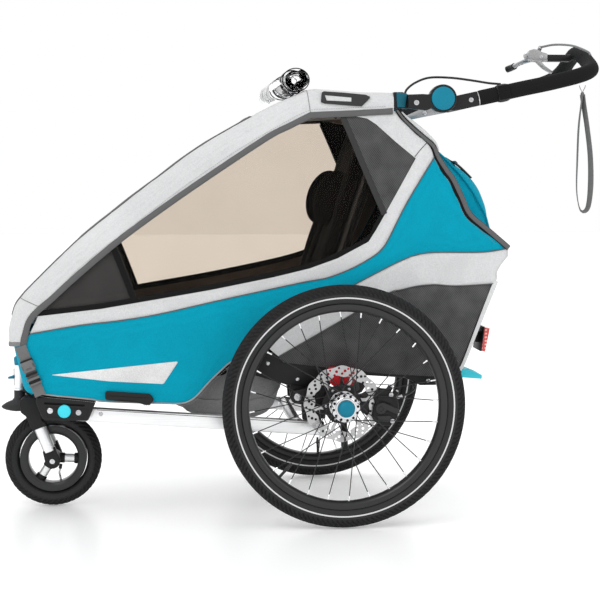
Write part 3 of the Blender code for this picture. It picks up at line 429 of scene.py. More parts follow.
ALU = metal("anodised_aluminium", (0.90, 0.905, 0.91), 0.32, "X", 0.15, 0.72)
ALUY = metal("anodised_aluminium_tube", (0.80, 0.81, 0.82), 0.28, "Y")
STEEL = metal("zinc_plated_steel", (0.50, 0.50, 0.52), 0.26, "")
POLISH = metal("polished_alloy", (0.66, 0.66, 0.68), 0.18, "")
CAST = metal("cast_alloy", (0.36, 0.36, 0.365), 0.34, "", 0.1, 0.9)
ROTOR = metal("rotor_steel", (0.47, 0.47, 0.475), 0.30, "Z")
SPOKE = metal("black_spoke", (0.045, 0.045, 0.047), 0.40, "", 0.05)
NIPPLE = metal("bright_nipple", (0.92, 0.92, 0.93), 0.12, "", 0.05)
PANE = clear("clear_window_sheet", (0.800, 0.744, 0.680))
RAIN = clear("clear_rain_sheet", (0.94, 0.95, 0.96), 0.06, 1.3)


def refl(name, base, emit=0.0):
    m = new_mat(name, base, 0.28, 0.0, Coat_Weight=0.5, Coat_Roughness=0.1)
    n = Nodes(m)
    cell = n.voronoi(900)
    n.colour(n.ramp(cell, [(0.0, scaled(base, 1.1)), (0.6, scaled(base, 0.86))]))
    n.bump(cell, 0.3, 0.0002)
    return m


REFLECT = refl("reflective_white", (0.66, 0.66, 0.665))
LENS = new_mat("red_lens", (0.62, 0.018, 0.020), 0.18, 0.0, Coat_Weight=0.8)
_n = Nodes(LENS)
_v = _n.mapped((1, 1, 1), (0, 0, radians(45)))
_c = _n.math("MULTIPLY", _n.wave(0.007, "X", 0, _v), _n.wave(0.008, "Z"))
_n.colour(_n.ramp(_c, [(0.15, (0.70, 0.035, 0.030)), (0.55, (0.95, 0.30, 0.26)), (0.9, (1.0, 0.66, 0.60))]))
_n.bump(_c, 0.6, 0.001)

# dark see-through screen, and the coated screen of the front cover
SCREEN = plain_cloth("fine_black_screen", (0.048, 0.046, 0.045), 0.0016)
_n = Nodes(SCREEN)
_g = _n.math("MAXIMUM", _n.wave(0.0016, "X"), _n.math("MAXIMUM", _n.wave(0.0016, "Z"), _n.wave(0.0016, "Y")))
_n.alpha(_n.math("MULTIPLY_ADD", _n.noise(14, 3), 0.22, 0.68))


# =============================================================== mesh helpers
def obj_from(name, verts, faces, mat, smooth=35.0, ride=None, slot=None):
    me = bpy.data.meshes.new(name)
    me.from_pydata([tuple(v) for v in verts], [], faces)
    me.validate()
    o = bpy.data.objects.new(name, me)
    scene.collection.objects.link(o)
    return dress(o, mat, smooth, ride, slot)


def obj_bm(name, bm, mat, smooth=35.0, ride=None, slot=None, recalc=True):
    if recalc:
        bmesh.ops.recalc_face_normals(bm, faces=bm.faces)
    me = bpy.data.meshes.new(name)
    bm.to_mesh(me)
    bm.free()
    o = bpy.data.objects.new(name, me)
    scene.collection.objects.link(o)
    return dress(o, mat, smooth, ride, slot)


def dress(o, mat, smooth, ride, slot):
    for m in mat if isinstance(mat, (list, tuple)) else [mat]:
        o.data.materials.append(m)
    if smooth:
        o.data.shade_smooth()
        o.data.set_sharp_from_angle(angle=radians(smooth))
    if ride:
        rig.ride(o, ride)
    if slot:
        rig.slot(o, slot)
    return o


def W(p):
    """Working axes (rear axle at x = 0) to the row frame."""
    return Vector((p[0] + DX, p[1], p[2]))


def apply_mods(o):
    dg = bpy.context.evaluated_depsgraph_get()
    me = bpy.data.meshes.new_from_object(o.evaluated_get(dg), preserve_all_data_layers=True, depsgraph=dg)
    old = o.data
    o.modifiers.clear()
    o.data = me
    me.name = old.name
    bpy.data.meshes.remove(old)
    return o


def catmull(points, per=6):
    pts = [Vector(p) for p in points]
    pts = [2 * pts[0] - pts[1]] + pts + [2 * pts[-1] - pts[-2]]
    out = []
    for i in range(1, len(pts) - 2):
        a, b, c, d = pts[i - 1:i + 3]
        for k in range(per):
            t = k / per
            out.append(0.5 * (2 * b + (c - a) * t + (2 * a - 5 * b + 4 * c - d) * t * t + (3 * b - a - 3 * c + d) * t ** 3))
    out.append(pts[-2])
    return out


def along(points, n):
    """n points evenly spaced along a polyline."""
    pts = [Vector(p) for p in points]
    d = [0.0]
    for a, b in zip(pts, pts[1:]):
        d.append(d[-1] + (b - a).length)
    out, j = [], 0
    for i in range(n):
        s = d[-1] * i / (n - 1)
        while j < len(pts) - 2 and d[j + 1] < s:
            j += 1
        t = (s - d[j]) / max(1e-9, d[j + 1] - d[j])
        out.append(pts[j].lerp(pts[j + 1], min(1.0, t)))
    return out


def length_of(points):
    return sum((Vector(b) - Vector(a)).length for a, b in zip(points, points[1:]))


def frames(route):
    """Parallel-transport frames along a route."""
    n = len(route)
    tang = [(route[min(i + 1, n - 1)] - route[max(i - 1, 0)]).normalized() for i in range(n)]
    u = tang[0].orthogonal().normalized()
    out = []
    for i in range(n):
        if i:
            u = u - tang[i] * u.dot(tang[i])
            u.normalize()
        out.append((tang[i], u, tang[i].cross(u)))
    return out


def tube_mesh(route, radius, sides=16, cap=True, squash=1.0):
    """A round tube with domed ends; radius may be a function of 0..1."""
    route = [Vector(p) for p in route]
    verts, faces = [], []
    fr = frames(route)
    n = len(route)
    for i, (p, (t, u, v)) in enumerate(zip(route, fr)):
        r = radius(i / (n - 1)) if callable(radius) else radius
        for k in range(sides):
            a = 2 * pi * k / sides
            verts.append(p + u * (r * cos(a)) + v * (r * squash * sin(a)))
    for i in range(n - 1):
        for k in range(sides):
            m = (k + 1) % sides
            faces.append((i * sides + k, i * sides + m, (i + 1) * sides + m, (i + 1) * sides + k))
    if cap:
        faces.append(tuple(range(sides))[::-1])
        faces.append(tuple((n - 1) * sides + k for k in range(sides)))
    return verts, faces


def tube(name, pts, radius, mat, ride=None, per=6, sides=16, slot=None, smooth=50):
    route = [W(p) for p in (catmull(pts, per) if per > 1 else [Vector(p) for p in pts])]
    v, f = tube_mesh(route, radius, sides)
    return obj_from(name, v, f, mat, smooth, ride, slot)


def bevel(o, width=0.001, segs=2, angle=35):
    m = o.modifiers.new("edge", "BEVEL")
    m.width, m.segments = width, segs
    m.limit_method, m.angle_limit = "ANGLE", radians(angle)
    m.harden_normals = False
    return o


def prism(name, outline, y0, y1, mat, ride=None, edge=0.0, segs=2, slot=None, smooth=35, apply=True):
    """An outline of (x, z) points drawn out from y0 to y1, with rounded edges."""
    bm = bmesh.new()
    low, high = min(y0, y1), max(y0, y1)
    base = bm.faces.new([bm.verts.new(W((x, low, z))) for x, z in outline])
    ext = bmesh.ops.extrude_face_region(bm, geom=[base])
    bmesh.ops.translate(bm, verts=[g for g in ext["geom"] if isinstance(g, bmesh.types.BMVert)], vec=(0, high - low, 0))
    o = obj_bm(name, bm, mat, smooth, None, slot)
    if edge:
        bevel(o, edge, segs)
        if apply:
            apply_mods(o)
            o.data.shade_smooth()
            o.data.set_sharp_from_angle(angle=radians(smooth))
    if ride:
        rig.ride(o, ride)
    return o


def turned_mesh(profile, centre, segs, axis="Y", wobble=None):
    """(radius, offset) profile about an axis; wobble(angle, index) adds to the radius."""
    verts, faces, rings = [], [], []
    c = Vector(centre)
    for j, (r, a) in enumerate(profile):
        if r < 1e-7:
            rings.append([len(verts)])
            verts.append(c + (Vector((0, a, 0)) if axis == "Y" else Vector((0, 0, a)) if axis == "Z" else Vector((a, 0, 0))))
            continue
        ring = []
        for i in range(segs):
            t = 2 * pi * i / segs
            rr = r + (wobble(t, j) if wobble else 0.0)
            u, v = rr * cos(t), rr * sin(t)
            ring.append(len(verts))
            verts.append(c + (Vector((u, a, v)) if axis == "Y" else Vector((u, v, a)) if axis == "Z" else Vector((a, u, v))))
        rings.append(ring)
    pairs = list(zip(rings, rings[1:]))
    if len(rings[0]) > 1 and len(rings[-1]) > 1:
        pairs.append((rings[-1], rings[0]))
    for a, b in pairs:
        for i in range(segs):
            j = (i + 1) % segs
            if len(a) == 1 and len(b) == 1:
                break
            if len(a) == 1:
                faces.append((a[0], b[i], b[j]))
            elif len(b) == 1:
                faces.append((a[i], a[j], b[0]))
            else:
                faces.append((a[i], a[j], b[j], b[i]))
    return verts, faces


def turned(name, profile, centre, segs, mat, ride=None, axis="Y", smooth=35, slot=None, wobble=None):
    v, f = turned_mesh(profile, W(centre), segs, axis, wobble)
    bm = bmesh.new()
    vs = [bm.verts.new(p) for p in v]
    for q in f:
        bm.faces.new([vs[i] for i in q])
    return obj_bm(name, bm, mat, smooth, ride, slot)


def rod(name, p, q, r, mat, ride=None, sides=20, chamfer=0.0006, slot=None, axle=True):
    """A straight round bar between two points, with chamfered ends."""
    p, q = W(p) if axle else Vector(p), W(q) if axle else Vector(q)
    d = (q - p).normalized()
    chamfer = max(chamfer, 1e-5)
    route = [p, p + d * chamfer, q - d * chamfer, q]
    fr = frames(route)
    verts, faces = [], []
    rs = [r - chamfer, r, r, r - chamfer]
    for pt, rr in zip(route, rs):
        for k in range(sides):
            a = 2 * pi * k / sides
            verts.append(pt + fr[1][1] * (rr * cos(a)) + fr[1][2] * (rr * sin(a)))
    for i in range(3):
        for k in range(sides):
            m = (k + 1) % sides
            faces.append((i * sides + k, i * sides + m, (i + 1) * sides + m, (i + 1) * sides + k))
    faces.append(tuple(range(sides))[::-1])
    faces.append(tuple(3 * sides + k for k in range(sides)))
    return obj_from(name, verts, faces, mat, 35, ride, slot)


def outward(o):
    """Faces of a closed mesh turned to look outwards."""
    bm = bmesh.new()
    bm.from_mesh(o.data)
    bmesh.ops.remove_doubles(bm, verts=bm.verts, dist=1e-6)
    bmesh.ops.recalc_face_normals(bm, faces=bm.faces)
    bm.to_mesh(o.data)
    bm.free()


def cut(o, other, op="DIFFERENCE"):
    outward(o)
    outward(other)
    m = o.modifiers.new("cut", "BOOLEAN")
    m.operation, m.object, m.solver = op, other, "EXACT"
    apply_mods(o)
    bpy.data.objects.remove(other)
    return o


def merge(name, objs, smooth=35, ride=None, slot=None):
    """Several meshes as one object, keeping each one's material."""
    bm = bmesh.new()
    mats = []
    for o in objs:
        me = o.data.copy()
        me.transform(o.matrix_world)
        ids = []
        for m in o.data.materials:
            if m not in mats:
                mats.append(m)
            ids.append(mats.index(m))
        start = len(bm.faces)
        bm.from_mesh(me)
        bm.faces.ensure_lookup_table()
        for f in bm.faces[start:]:
            f.material_index = ids[f.material_index] if ids else 0
        bpy.data.meshes.remove(me)
        bpy.data.objects.remove(o)
    return obj_bm(name, bm, mats, smooth, ride, slot, recalc=False)


def circle(cx, cz, r, start=0.0, end=360.0, n=24):
    full = abs(end - start) >= 360
    steps = n if full else n - 1
    return [(cx + r * cos(radians(start + (end - start) * i / steps)), cz + r * sin(radians(start + (end - start) * i / steps))) for i in range(n)]


def screw_head(name, at, axis, r, mat, ride, socket=True, depth=0.0022):
    """A pan-head screw with a cross or hexagon recess; axis is the outward normal."""
    at, axis = W(at), Vector(axis).normalized()
    prof = [(0.0, depth), (r * 0.62, depth), (r * 0.93, depth * 0.66), (r, depth * 0.2), (r, 0.0), (0.0, 0.0)]
    v, f = turned_mesh(prof, (0, 0, 0), 24, "Z")
    bm = bmesh.new()
    vs = [bm.verts.new(p) for p in v]
    for q in f:
        bm.faces.new([vs[i] for i in q])
    o = obj_bm(name, bm, mat, 35)
    if socket:
        bm = bmesh.new()
        bmesh.ops.create_cone(bm, cap_ends=True, segments=6, radius1=r * 0.42, radius2=r * 0.42, depth=depth)
        bmesh.ops.translate(bm, verts=bm.verts, vec=(0, 0, depth * 0.95))
        cut(o, obj_bm(name + "_s", bm, mat, 0))
    o.data.transform(Matrix.Translation(at) @ axis.to_track_quat("Z", "Y").to_matrix().to_4x4())
    if ride:
        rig.ride(o, ride)
    return o


def take(name, mat, edge=0.0, segs=2, smooth=35):
    """A CAD node that stays: better material and, if asked, rounded edges."""
    o = NODES[name]
    if not o.material_slots:
        o.data.materials.append(mat)
    for s in o.material_slots:
        s.link = "OBJECT"
        s.material = mat
    if edge:
        bevel(o, edge, segs, 40)
    return o


def declare(o, held, rests, flat=None, pieces=()):
    """A sewn panel as a sheet: its cut is its own one-sided area, in a rectangle of its longest two sides unless given."""
    a = sum(p.area for p in o.data.polygons) / 2
    if flat is None:
        co = [v.co for v in o.data.vertices]
        size = sorted(max(p[k] for p in co) - min(p[k] for p in co) for k in range(3))
        flat = (size[1], size[2])
    w, l = flat
    if a < 0.32 * w * l:
        w = a / l
    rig.sheet(o, (w, l), held, rests_on=rests, area=min(a, w * l), with_pieces=list(pieces))


# =============================================================== camera and light
cam_data = bpy.data.cameras.new("camera")
cam_data.lens, cam_data.sensor_width = 94.4, 36.0
cam = bpy.data.objects.new("camera", cam_data)
scene.collection.objects.link(cam)
yaw, pitch = radians(5.47), radians(4.50)
cam.location = W((-0.394, -3.447, 0.719))
look = Vector((sin(yaw) * cos(pitch), cos(yaw) * cos(pitch), -sin(pitch)))
cam.rotation_euler = look.to_track_quat("-Z", "Y").to_euler()
scene.camera = cam
scene.view_settings.view_transform = "Standard"
scene.view_settings.look = "None"

world = bpy.data.worlds.new("studio")
scene.world = world
world.use_nodes = True
world.node_tree.nodes["Background"].inputs[0].default_value = (1.0, 1.0, 1.0, 1)
world.node_tree.nodes["Background"].inputs[1].default_value = 1.0


def area(name, at, target, size, power, size_y=None, colour=(1, 1, 1)):
    d = bpy.data.lights.new(name, "AREA")
    d.shape = "RECTANGLE"
    d.size, d.size_y = size, size_y or size
    d.energy = power
    d.color = colour
    o = bpy.data.objects.new(name, d)
    o.location = at
    o.rotation_euler = (Vector(target) - Vector(at)).to_track_quat("-Z", "Y").to_euler()
    scene.collection.objects.link(o)


area("key", (-1.8, -2.6, 3.2), (0, 0, 0.4), 2.4, 46)
area("fill", (2.8, -2.4, 2.0), (0, 0, 0.5), 2.2, 14)
area("back", (0.4, 3.0, 2.8), (0, 0, 0.4), 2.6, 34)

FLOOR = new_mat("pale_floor", (0.84, 0.84, 0.84), 0.30, 0.0, Specular_IOR_Level=0.3, Emission_Strength=0.22)
FLOOR.node_tree.nodes["Principled BSDF"].inputs["Emission Color"].default_value = (1, 1, 1, 1)
_n = Nodes(FLOOR)
_n.colour(_n.ramp(_n.noise(1.5, 4), [(0.3, (0.83, 0.83, 0.83)), (0.7, (0.85, 0.85, 0.85))]))
bm = bmesh.new()
cols = []
for x in (-16.0, -5.0, 0.0, 5.0, 16.0):
    cols.append([bm.verts.new((x, y, 0.0)) for y in (-16.0, -5.0, 0.0, 5.0, 16.0)])
for a, b in zip(cols, cols[1:]):
    for i in range(4):
        bm.faces.new((a[i], b[i], b[i + 1], a[i + 1]))
floor = obj_bm("floor", bm, FLOOR, 0)
floor.data.shade_smooth()
floor.location = (0, 0, -0.0006)
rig.stage(floor)


# =============================================================== rear wheels
R_W, TRACK = 0.250, 0.285
for side, s in SIDES:
    wheel, arm = f"{side}_wheel", f"{side}_arm"
    c = (0, s * TRACK, 0.25)

    # tyre: section turned round the rim, with a centre rib, slanted blocks,
    # shoulder knobs and raised rings on the sidewall
    segs, ring = 720, 48
    verts, faces = [], []
    for i in range(segs):
        th = 2 * pi * i / segs
        for k in range(ring):
            t = 2 * pi * k / ring - pi
            deg = abs(t) * 180 / pi
            d = 0.0
            cell = (th * 72 / (2 * pi) + (0.5 if t > 0 else 0.0) + deg / 60.0) % 1.0
            if deg < 9:
                d = 0.0018
            elif 12 < deg < 33:
                d = 0.0018 if cell < 0.62 else -0.0002
            elif 37 < deg < 78:
                d = 0.0022 if (cell * 2) % 1.0 < 0.56 else -0.0006
            elif 84 < deg < 88 or 116 < deg < 119 or 132 < deg < 135:
                d = 0.0005
            rr = 0.2278 + (0.0203 + d) * cos(t)
            yy = (0.0203 + d) * sin(t)
            verts.append(W((rr * cos(th), s * TRACK + yy, 0.25 + rr * sin(th))))
    for i in range(segs):
        j = (i + 1) % segs
        for k in range(ring):
            m = (k + 1) % ring
            faces.append((i * ring + k, i * ring + m, j * ring + m, j * ring + k))
    tyre = obj_from(f"{side}_tyre_tread", verts, faces, [TYRE, SIDEWALL], 28, None, "tyre_rubber")
    bm = bmesh.new()
    bm.from_mesh(tyre.data)
    for f in bm.faces:
        p = f.calc_center_median()
        rr = hypot(p.x - DX, p.z - 0.25)
        f.material_index = 1 if rr < 0.2315 else 0
    bmesh.ops.recalc_face_normals(bm, faces=bm.faces)
    bm.to_mesh(tyre.data)
    bm.free()
    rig.ride(tyre, wheel)
    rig.replaces(tyre, f"{side}_tyre")
    for o in (-1, 1):
        arc = [radians(a) for a in (97, 99.5, 102, 104.5)]
        prof = [(0.2278 + 0.0213 * cos(t), o * 0.0213 * sin(t)) for t in arc] + [(0.2278 + 0.0205 * cos(t), o * 0.0205 * sin(t)) for t in arc[::-1]]
        turned(f"{side}_reflective_ring_{'outer' if o * s > 0 else 'inner'}", prof, c, 200, REFLECT, wheel, slot="tyre_rubber")

    # rim, valve, nipples and spokes
    prof = [(0.1949, -0.0045), (0.1940, 0.0), (0.1949, 0.0045), (0.1968, 0.0095), (0.2002, 0.0128), (0.2035, 0.0140), (0.2104, 0.0146), (0.2108, 0.0136), (0.2075, 0.0126), (0.2048, 0.0), (0.2075, -0.0126), (0.2108, -0.0136), (0.2104, -0.0146), (0.2035, -0.0140), (0.2002, -0.0128), (0.1968, -0.0095)]
    rim = turned(f"{side}_wheel_rim", prof, c, 200, SATIN, wheel, slot="black_paint")
    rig.replaces(rim, f"{side}_rim")
    spokes, nips = [], []
    sv, sf, nv, nf = [], [], [], []

    def add(mesh, vv, ff):
        base = len(mesh[0])
        mesh[0].extend(vv)
        mesh[1].extend(tuple(i + base for i in q) for q in ff)

    for k in range(28):
        t = 2 * pi * (k + 0.5) / 28 - radians(3.6)
        lean = radians(58) if (k // 2) % 2 == 0 else radians(-58)
        y = 0.2625 if k % 2 == 0 else 0.3075
        ta = t + lean
        a = W((0.0262 * cos(ta), s * (y + 0.0012 * (1 if y > 0.29 else -1)), 0.25 + 0.0262 * sin(ta)))
        b = W((0.1950 * cos(t), s * (TRACK + (0.0014 if y > 0.29 else -0.0014)), 0.25 + 0.1950 * sin(t)))
        d = (b - a).normalized()
        add((sv, sf), *tube_mesh([a, a + d * 0.06, b - d * 0.008], 0.00102, 8))
        add((sv, sf), *tube_mesh([a - Vector((0, s * (0.0022 if y > 0.29 else -0.0022), 0)), a, a + d * 0.004], 0.00095, 8))
        add((nv, nf), *tube_mesh([b - d * 0.0110, b - d * 0.0100, b - d * 0.0035, b + d * 0.0006], lambda q: 0.0013 if q < 0.1 else 0.0017 if q < 0.9 else 0.0023, 10))
    obj_from(f"{side}_spoke_set", sv, sf, SPOKE, 60, wheel, "steel")
    obj_from(f"{side}_nipple_set", nv, nf, NIPPLE, 40, wheel, "steel")
    va = radians(-133 if s < 0 else -88)
    vd = Vector((cos(va), 0, sin(va)))
    vb = W((0, s * TRACK, 0.25))
    v, f = tube_mesh([vb + vd * r for r in (0.158, 0.161, 0.172, 0.174, 0.196)], lambda q: (0.0026 if q < 0.3 else 0.0042 if q < 0.62 else 0.0030), 14)
    obj_from(f"{side}_tyre_valve", v, f, DARK, 35, wheel, "black_plastic")

    # hub shell with drilled flanges
    prof = [(0.0, 0.2575), (0.0145, 0.2575), (0.0165, 0.2606), (0.0288, 0.2612), (0.0292, 0.2618), (0.0292, 0.2636), (0.0288, 0.2642), (0.0172, 0.2655), (0.0136, 0.2720), (0.0128, 0.2850), (0.0136, 0.2980), (0.0172, 0.3045), (0.0288, 0.3058), (0.0292, 0.3064), (0.0292, 0.3082), (0.0288, 0.3088), (0.0226, 0.3096), (0.0214, 0.3106), (0.0214, 0.3158), (0.0209, 0.3165), (0.0180, 0.3165), (0.0178, 0.3158), (0.0178, 0.3092), (0.0, 0.3092)]
    hub = turned(f"{side}_hub_shell", [(r, s * a) for r, a in prof], (0, 0, 0.25), 84, POLISH)
    cutters = []
    for k in range(12):
        t = 2 * pi * (k + 0.25) / 12
        for y in (0.2625, 0.3075):
            cutters.append(rod("cutter", (0.0251 * cos(t), s * (y - 0.003), 0.25 + 0.0251 * sin(t)), (0.0251 * cos(t), s * (y + 0.003), 0.25 + 0.0251 * sin(t)), 0.0029, POLISH, sides=12, chamfer=0))
    cut(hub, merge("cutters", cutters))
    hub.data.shade_smooth()
    hub.data.set_sharp_from_angle(angle=radians(35))
    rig.ride(hub, wheel)
    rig.slot(hub, "silver_tube")
    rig.replaces(hub, f"{side}_hub")
    turned(f"{side}_hub_flange_backing", [(0.0180, s * 0.3046), (0.0285, s * 0.3046), (0.0285, s * 0.3056), (0.0180, s * 0.3056)], (0, 0, 0.25), 48, BLACK, wheel, slot="black_plastic")
    rod(f"{side}_quick_axle", (0, s * 0.2040, 0.25), (0, s * 0.2585, 0.25), 0.0060, STEEL, wheel, 24, slot="steel")
    cap = turned(f"{side}_release_cap_dome", [(0.0, s * 0.3130), (0.0172, s * 0.3130), (0.0172, s * 0.3215), (0.0168, s * 0.3238), (0.0150, s * 0.3268), (0.0118, s * 0.3290), (0.0070, s * 0.3302), (0.0, s * 0.3305)], (0, 0, 0.25), 64, TEALP, f"{side}_wheel_cap", slot="teal_plastic")
    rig.replaces(cap, f"{side}_wheel_release_cap")

    # disc: wavy brake track with drilled holes and slots, spider arms, carrier
    v, f = [], []
    n = 240
    for y in (0.2441, 0.2459):
        for outer in (False, True):
            for i in range(n):
                t = 2 * pi * i / n
                r = 0.0784 + 0.0016 * cos(12 * t) if outer else 0.0580 - 0.0022 * cos(12 * t + 0.7)
                v.append(W((r * cos(t), s * y, 0.25 + r * sin(t))))
    for i in range(n):
        j = (i + 1) % n
        a0, a1, b0, b1 = 0, n, 2 * n, 3 * n
        f += [(a0 + i, a1 + i, a1 + j, a0 + j), (b0 + i, b0 + j, b1 + j, b1 + i), (a1 + i, b1 + i, b1 + j, a1 + j), (a0 + i, a0 + j, b0 + j, b0 + i)]
    bm = bmesh.new()
    vs = [bm.verts.new(p) for p in v]
    for q in f:
        bm.faces.new([vs[i] for i in q])
    disc = obj_bm(f"{side}_rotor_track", bm, ROTOR, 30)
    cutters = []
    for k in range(72):
        t = 2 * pi * k / 72
        r = (0.0622, 0.0742, 0.0684)[k % 3] + 0.0009 * cos(12 * t)
        cutters.append(rod("cutter", (r * cos(t), s * 0.2420, 0.25 + r * sin(t)), (r * cos(t), s * 0.2480, 0.25 + r * sin(t)), (0.0027, 0.0024, 0.0030)[k % 3], ROTOR, sides=12, chamfer=0))
    cut(disc, merge("cutters", cutters))
    arms = [disc]
    for k in range(6):
        t0 = 2 * pi * (k + 0.3) / 6
        pts = []
        for r, a in ((0.036, -9), (0.045, -12), (0.052, -13), (0.0595, -11), (0.0595, -1), (0.052, -5), (0.045, -4), (0.036, 2)):
            pts.append((r * cos(t0 + radians(a)), 0.25 + r * sin(t0 + radians(a))))
        arms.append(prism("arm", pts, s * 0.2443, s * 0.2457, ROTOR))
    disc = merge(f"{side}_rotor_disc", arms, 30, wheel, "steel")
    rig.replaces(disc, f"{side}_brake_rotor")
    turned(f"{side}_rotor_carrier", [(r, s * a) for r, a in [(0.0145, 0.2464), (0.0400, 0.2464), (0.0404, 0.2470), (0.0404, 0.2492), (0.0392, 0.2500), (0.0300, 0.2512), (0.0246, 0.2572), (0.0240, 0.2572), (0.0145, 0.2572)]], (0, 0, 0.25), 96, BLACK, wheel, slot="black_plastic", wobble=lambda t, j: 0.0011 * cos(6 * t) if 1 <= j <= 4 else 0.0)
    for k in range(6):
        t = 2 * pi * (k + 0.1) / 6
        screw_head(f"{side}_rotor_screw_{k + 1}", (0.0340 * cos(t), s * 0.2503, 0.25 + 0.0340 * sin(t)), (0, s, 0), 0.0031, STEEL, wheel, depth=0.0014)

    # ---------------------------------------------------------- swing arm
    ax, az = -0.090, 0.262
    outline = circle(ax, az, 0.0145, 95, 262, 15) + [(-0.060, 0.243), (-0.030, 0.226)] + circle(0, 0.25, 0.033, 238, 272, 6)
    outline += [(0.0030, 0.1530), (0.0055, 0.1500), (0.0140, 0.1500), (0.0160, 0.1525)] + circle(0, 0.25, 0.033, 293, 474, 30) + [(-0.045, 0.284)]
    body = prism(f"{side}_swing_arm_casting", outline, s * 0.2008, s * 0.2220, BLACK, None, 0.0022, 3)
    cut(body, rod("cutter", (0, s * 0.19, 0.25), (0, s * 0.24, 0.25), 0.0075, BLACK, sides=28, chamfer=0))
    cut(body, prism("cutter", [(-0.072, 0.262), (-0.046, 0.243), (-0.038, 0.252), (-0.046, 0.272), (-0.070, 0.274)], s * 0.2185, s * 0.23, BLACK))
    body.data.shade_smooth()
    body.data.set_sharp_from_angle(angle=radians(35))
    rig.ride(body, arm)
    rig.slot(body, "black_plastic")
    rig.replaces(body, f"{side}_swing_arm")
    prism(f"{side}_caliper_adapter", [(0.034, 0.262), (0.070, 0.283), (0.102, 0.273), (0.104, 0.262), (0.096, 0.240), (0.099, 0.216), (0.090, 0.211), (0.064, 0.213), (0.036, 0.236)], s * 0.2180, s * 0.2286, SATIN, arm, 0.0014, 2, "black_plastic")
    screw_head(f"{side}_arm_pivot_bolt", (ax, s * 0.2219, az), (0, s, 0), 0.0082, STEEL, arm, depth=0.0035)
    turned(f"{side}_axle_seat_ring", [(0.0076, s * 0.2216), (0.0125, s * 0.2216), (0.0125, s * 0.2236), (0.0118, s * 0.2240), (0.0076, s * 0.2240)], (0, 0, 0.25), 40, STEEL, arm, slot="steel")
    outline = [(0.0620, 0.2200), (0.0680, 0.2120), (0.0800, 0.2060), (0.0960, 0.2030), (0.1060, 0.2080), (0.1150, 0.2220), (0.1175, 0.2400), (0.1160, 0.2560), (0.1080, 0.2700), (0.0960, 0.2790), (0.0820, 0.2800), (0.0700, 0.2740), (0.0640, 0.2620), (0.0680, 0.2540), (0.0630, 0.2420)]
    body = prism(f"{side}_caliper_body", outline, s * 0.2290, s * 0.2560, BLACK, None, 0.0030, 3)
    extra = [prism("rib", [(0.0700, 0.2600), (0.0760, 0.2700), (0.1020, 0.2660), (0.1080, 0.2560), (0.1000, 0.2500)], s * 0.2520, s * 0.2600, BLACK, None, 0.0018, 2)]
    extra.append(prism("rib", [(0.0700, 0.2260), (0.0760, 0.2150), (0.0960, 0.2120), (0.1040, 0.2200), (0.0980, 0.2260)], s * 0.2520, s * 0.2595, DARK, None, 0.0018, 2))
    body = merge(f"{side}_caliper_body", [body] + extra)
    cut(body, turned("cutter", [(0.0, s * 0.2424), (0.0845, s * 0.2424), (0.0845, s * 0.2476), (0.0, s * 0.2476)], (0, 0, 0.25), 72, BLACK))
    body.data.shade_smooth()
    body.data.set_sharp_from_angle(angle=radians(35))
    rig.ride(body, arm)
    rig.slot(body, "black_plastic")
    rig.replaces(body, f"{side}_caliper")
    turned(f"{side}_pad_adjuster", [(r, s * a) for r, a in [(0.0, 0.2560), (0.0115, 0.2560), (0.0115, 0.2612), (0.0104, 0.2628), (0.0060, 0.2634), (0.0052, 0.2620), (0.0, 0.2620)]], (0.079, 0, 0.241), 32, DARK, arm, slot="black_plastic", wobble=lambda t, j: 0.0004 * cos(16 * t) if j in (1, 2) else 0)
    for i, (x, z) in enumerate(((0.100, 0.2695), (0.103, 0.2145))):
        screw_head(f"{side}_caliper_bolt_{i + 1}", (x, s * 0.2598, z), (0, s, 0), 0.0050, STEEL, arm, depth=0.0024)
    for i, (x, z) in enumerate(((0.0960, 0.2760), (0.1085, 0.2660))):
        rod(f"{side}_barrel_adjuster_{i + 1}", (x - 0.006, s * 0.2440, z - 0.009), (x + 0.0055, s * 0.2440, z + 0.0085), 0.0058, BLACK, arm, 20, slot="black_plastic")
        rod(f"{side}_barrel_collar_{i + 1}", (x + 0.0052, s * 0.2440, z + 0.0080), (x + 0.0072, s * 0.2440, z + 0.0110), 0.0036, STEEL, arm, 16, slot="steel")
    prism(f"{side}_caliper_arm", [(0.076, 0.252), (0.084, 0.254), (0.114, 0.240), (0.1185, 0.233), (0.112, 0.229), (0.082, 0.242)], s * 0.2596, s * 0.2630, DARK, arm, 0.0008, 2, "steel")

    # ---------------------------------------------------------- red elastomer, two lobes
    lobes = [prism("lobe", circle(-0.0110, 0.2935, 0.0105, 180, 360, 12) + [(-0.0005, 0.3040), (-0.0060, 0.3075), (-0.0160, 0.3075), (-0.0215, 0.3040)], s * 0.1990, s * 0.2225, ELASTOMER, None, 0.0022, 3)]
    lobes.append(prism("lobe", circle(0.0175, 0.2935, 0.0110, 180, 360, 12) + [(0.0285, 0.3040), (0.0230, 0.3075), (0.0125, 0.3075), (0.0065, 0.3040)], s * 0.1990, s * 0.2225, ELASTOMER, None, 0.0022, 3))
    lobes.append(prism("bridge", [(-0.0255, 0.3060), (-0.0265, 0.3180), (-0.0215, 0.3225), (-0.0110, 0.3225), (-0.0080, 0.3190), (0.0130, 0.3180), (0.0160, 0.3215), (0.0290, 0.3205), (0.0345, 0.3160), (0.0340, 0.3050), (0.0280, 0.3030), (-0.0200, 0.3035)], s * 0.1990, s * 0.2215, ELASTOMER, None, 0.0022, 3))
    block = merge(f"{side}_elastomer_lobes", lobes, 35, "chassis", "red_elastomer")
    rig.replaces(block, f"{side}_suspension_block")
    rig.squash(block, f"{side}_suspension", axis=(0, 0, 1), anchor=(0, 0, 0.3220), keep=0.55)

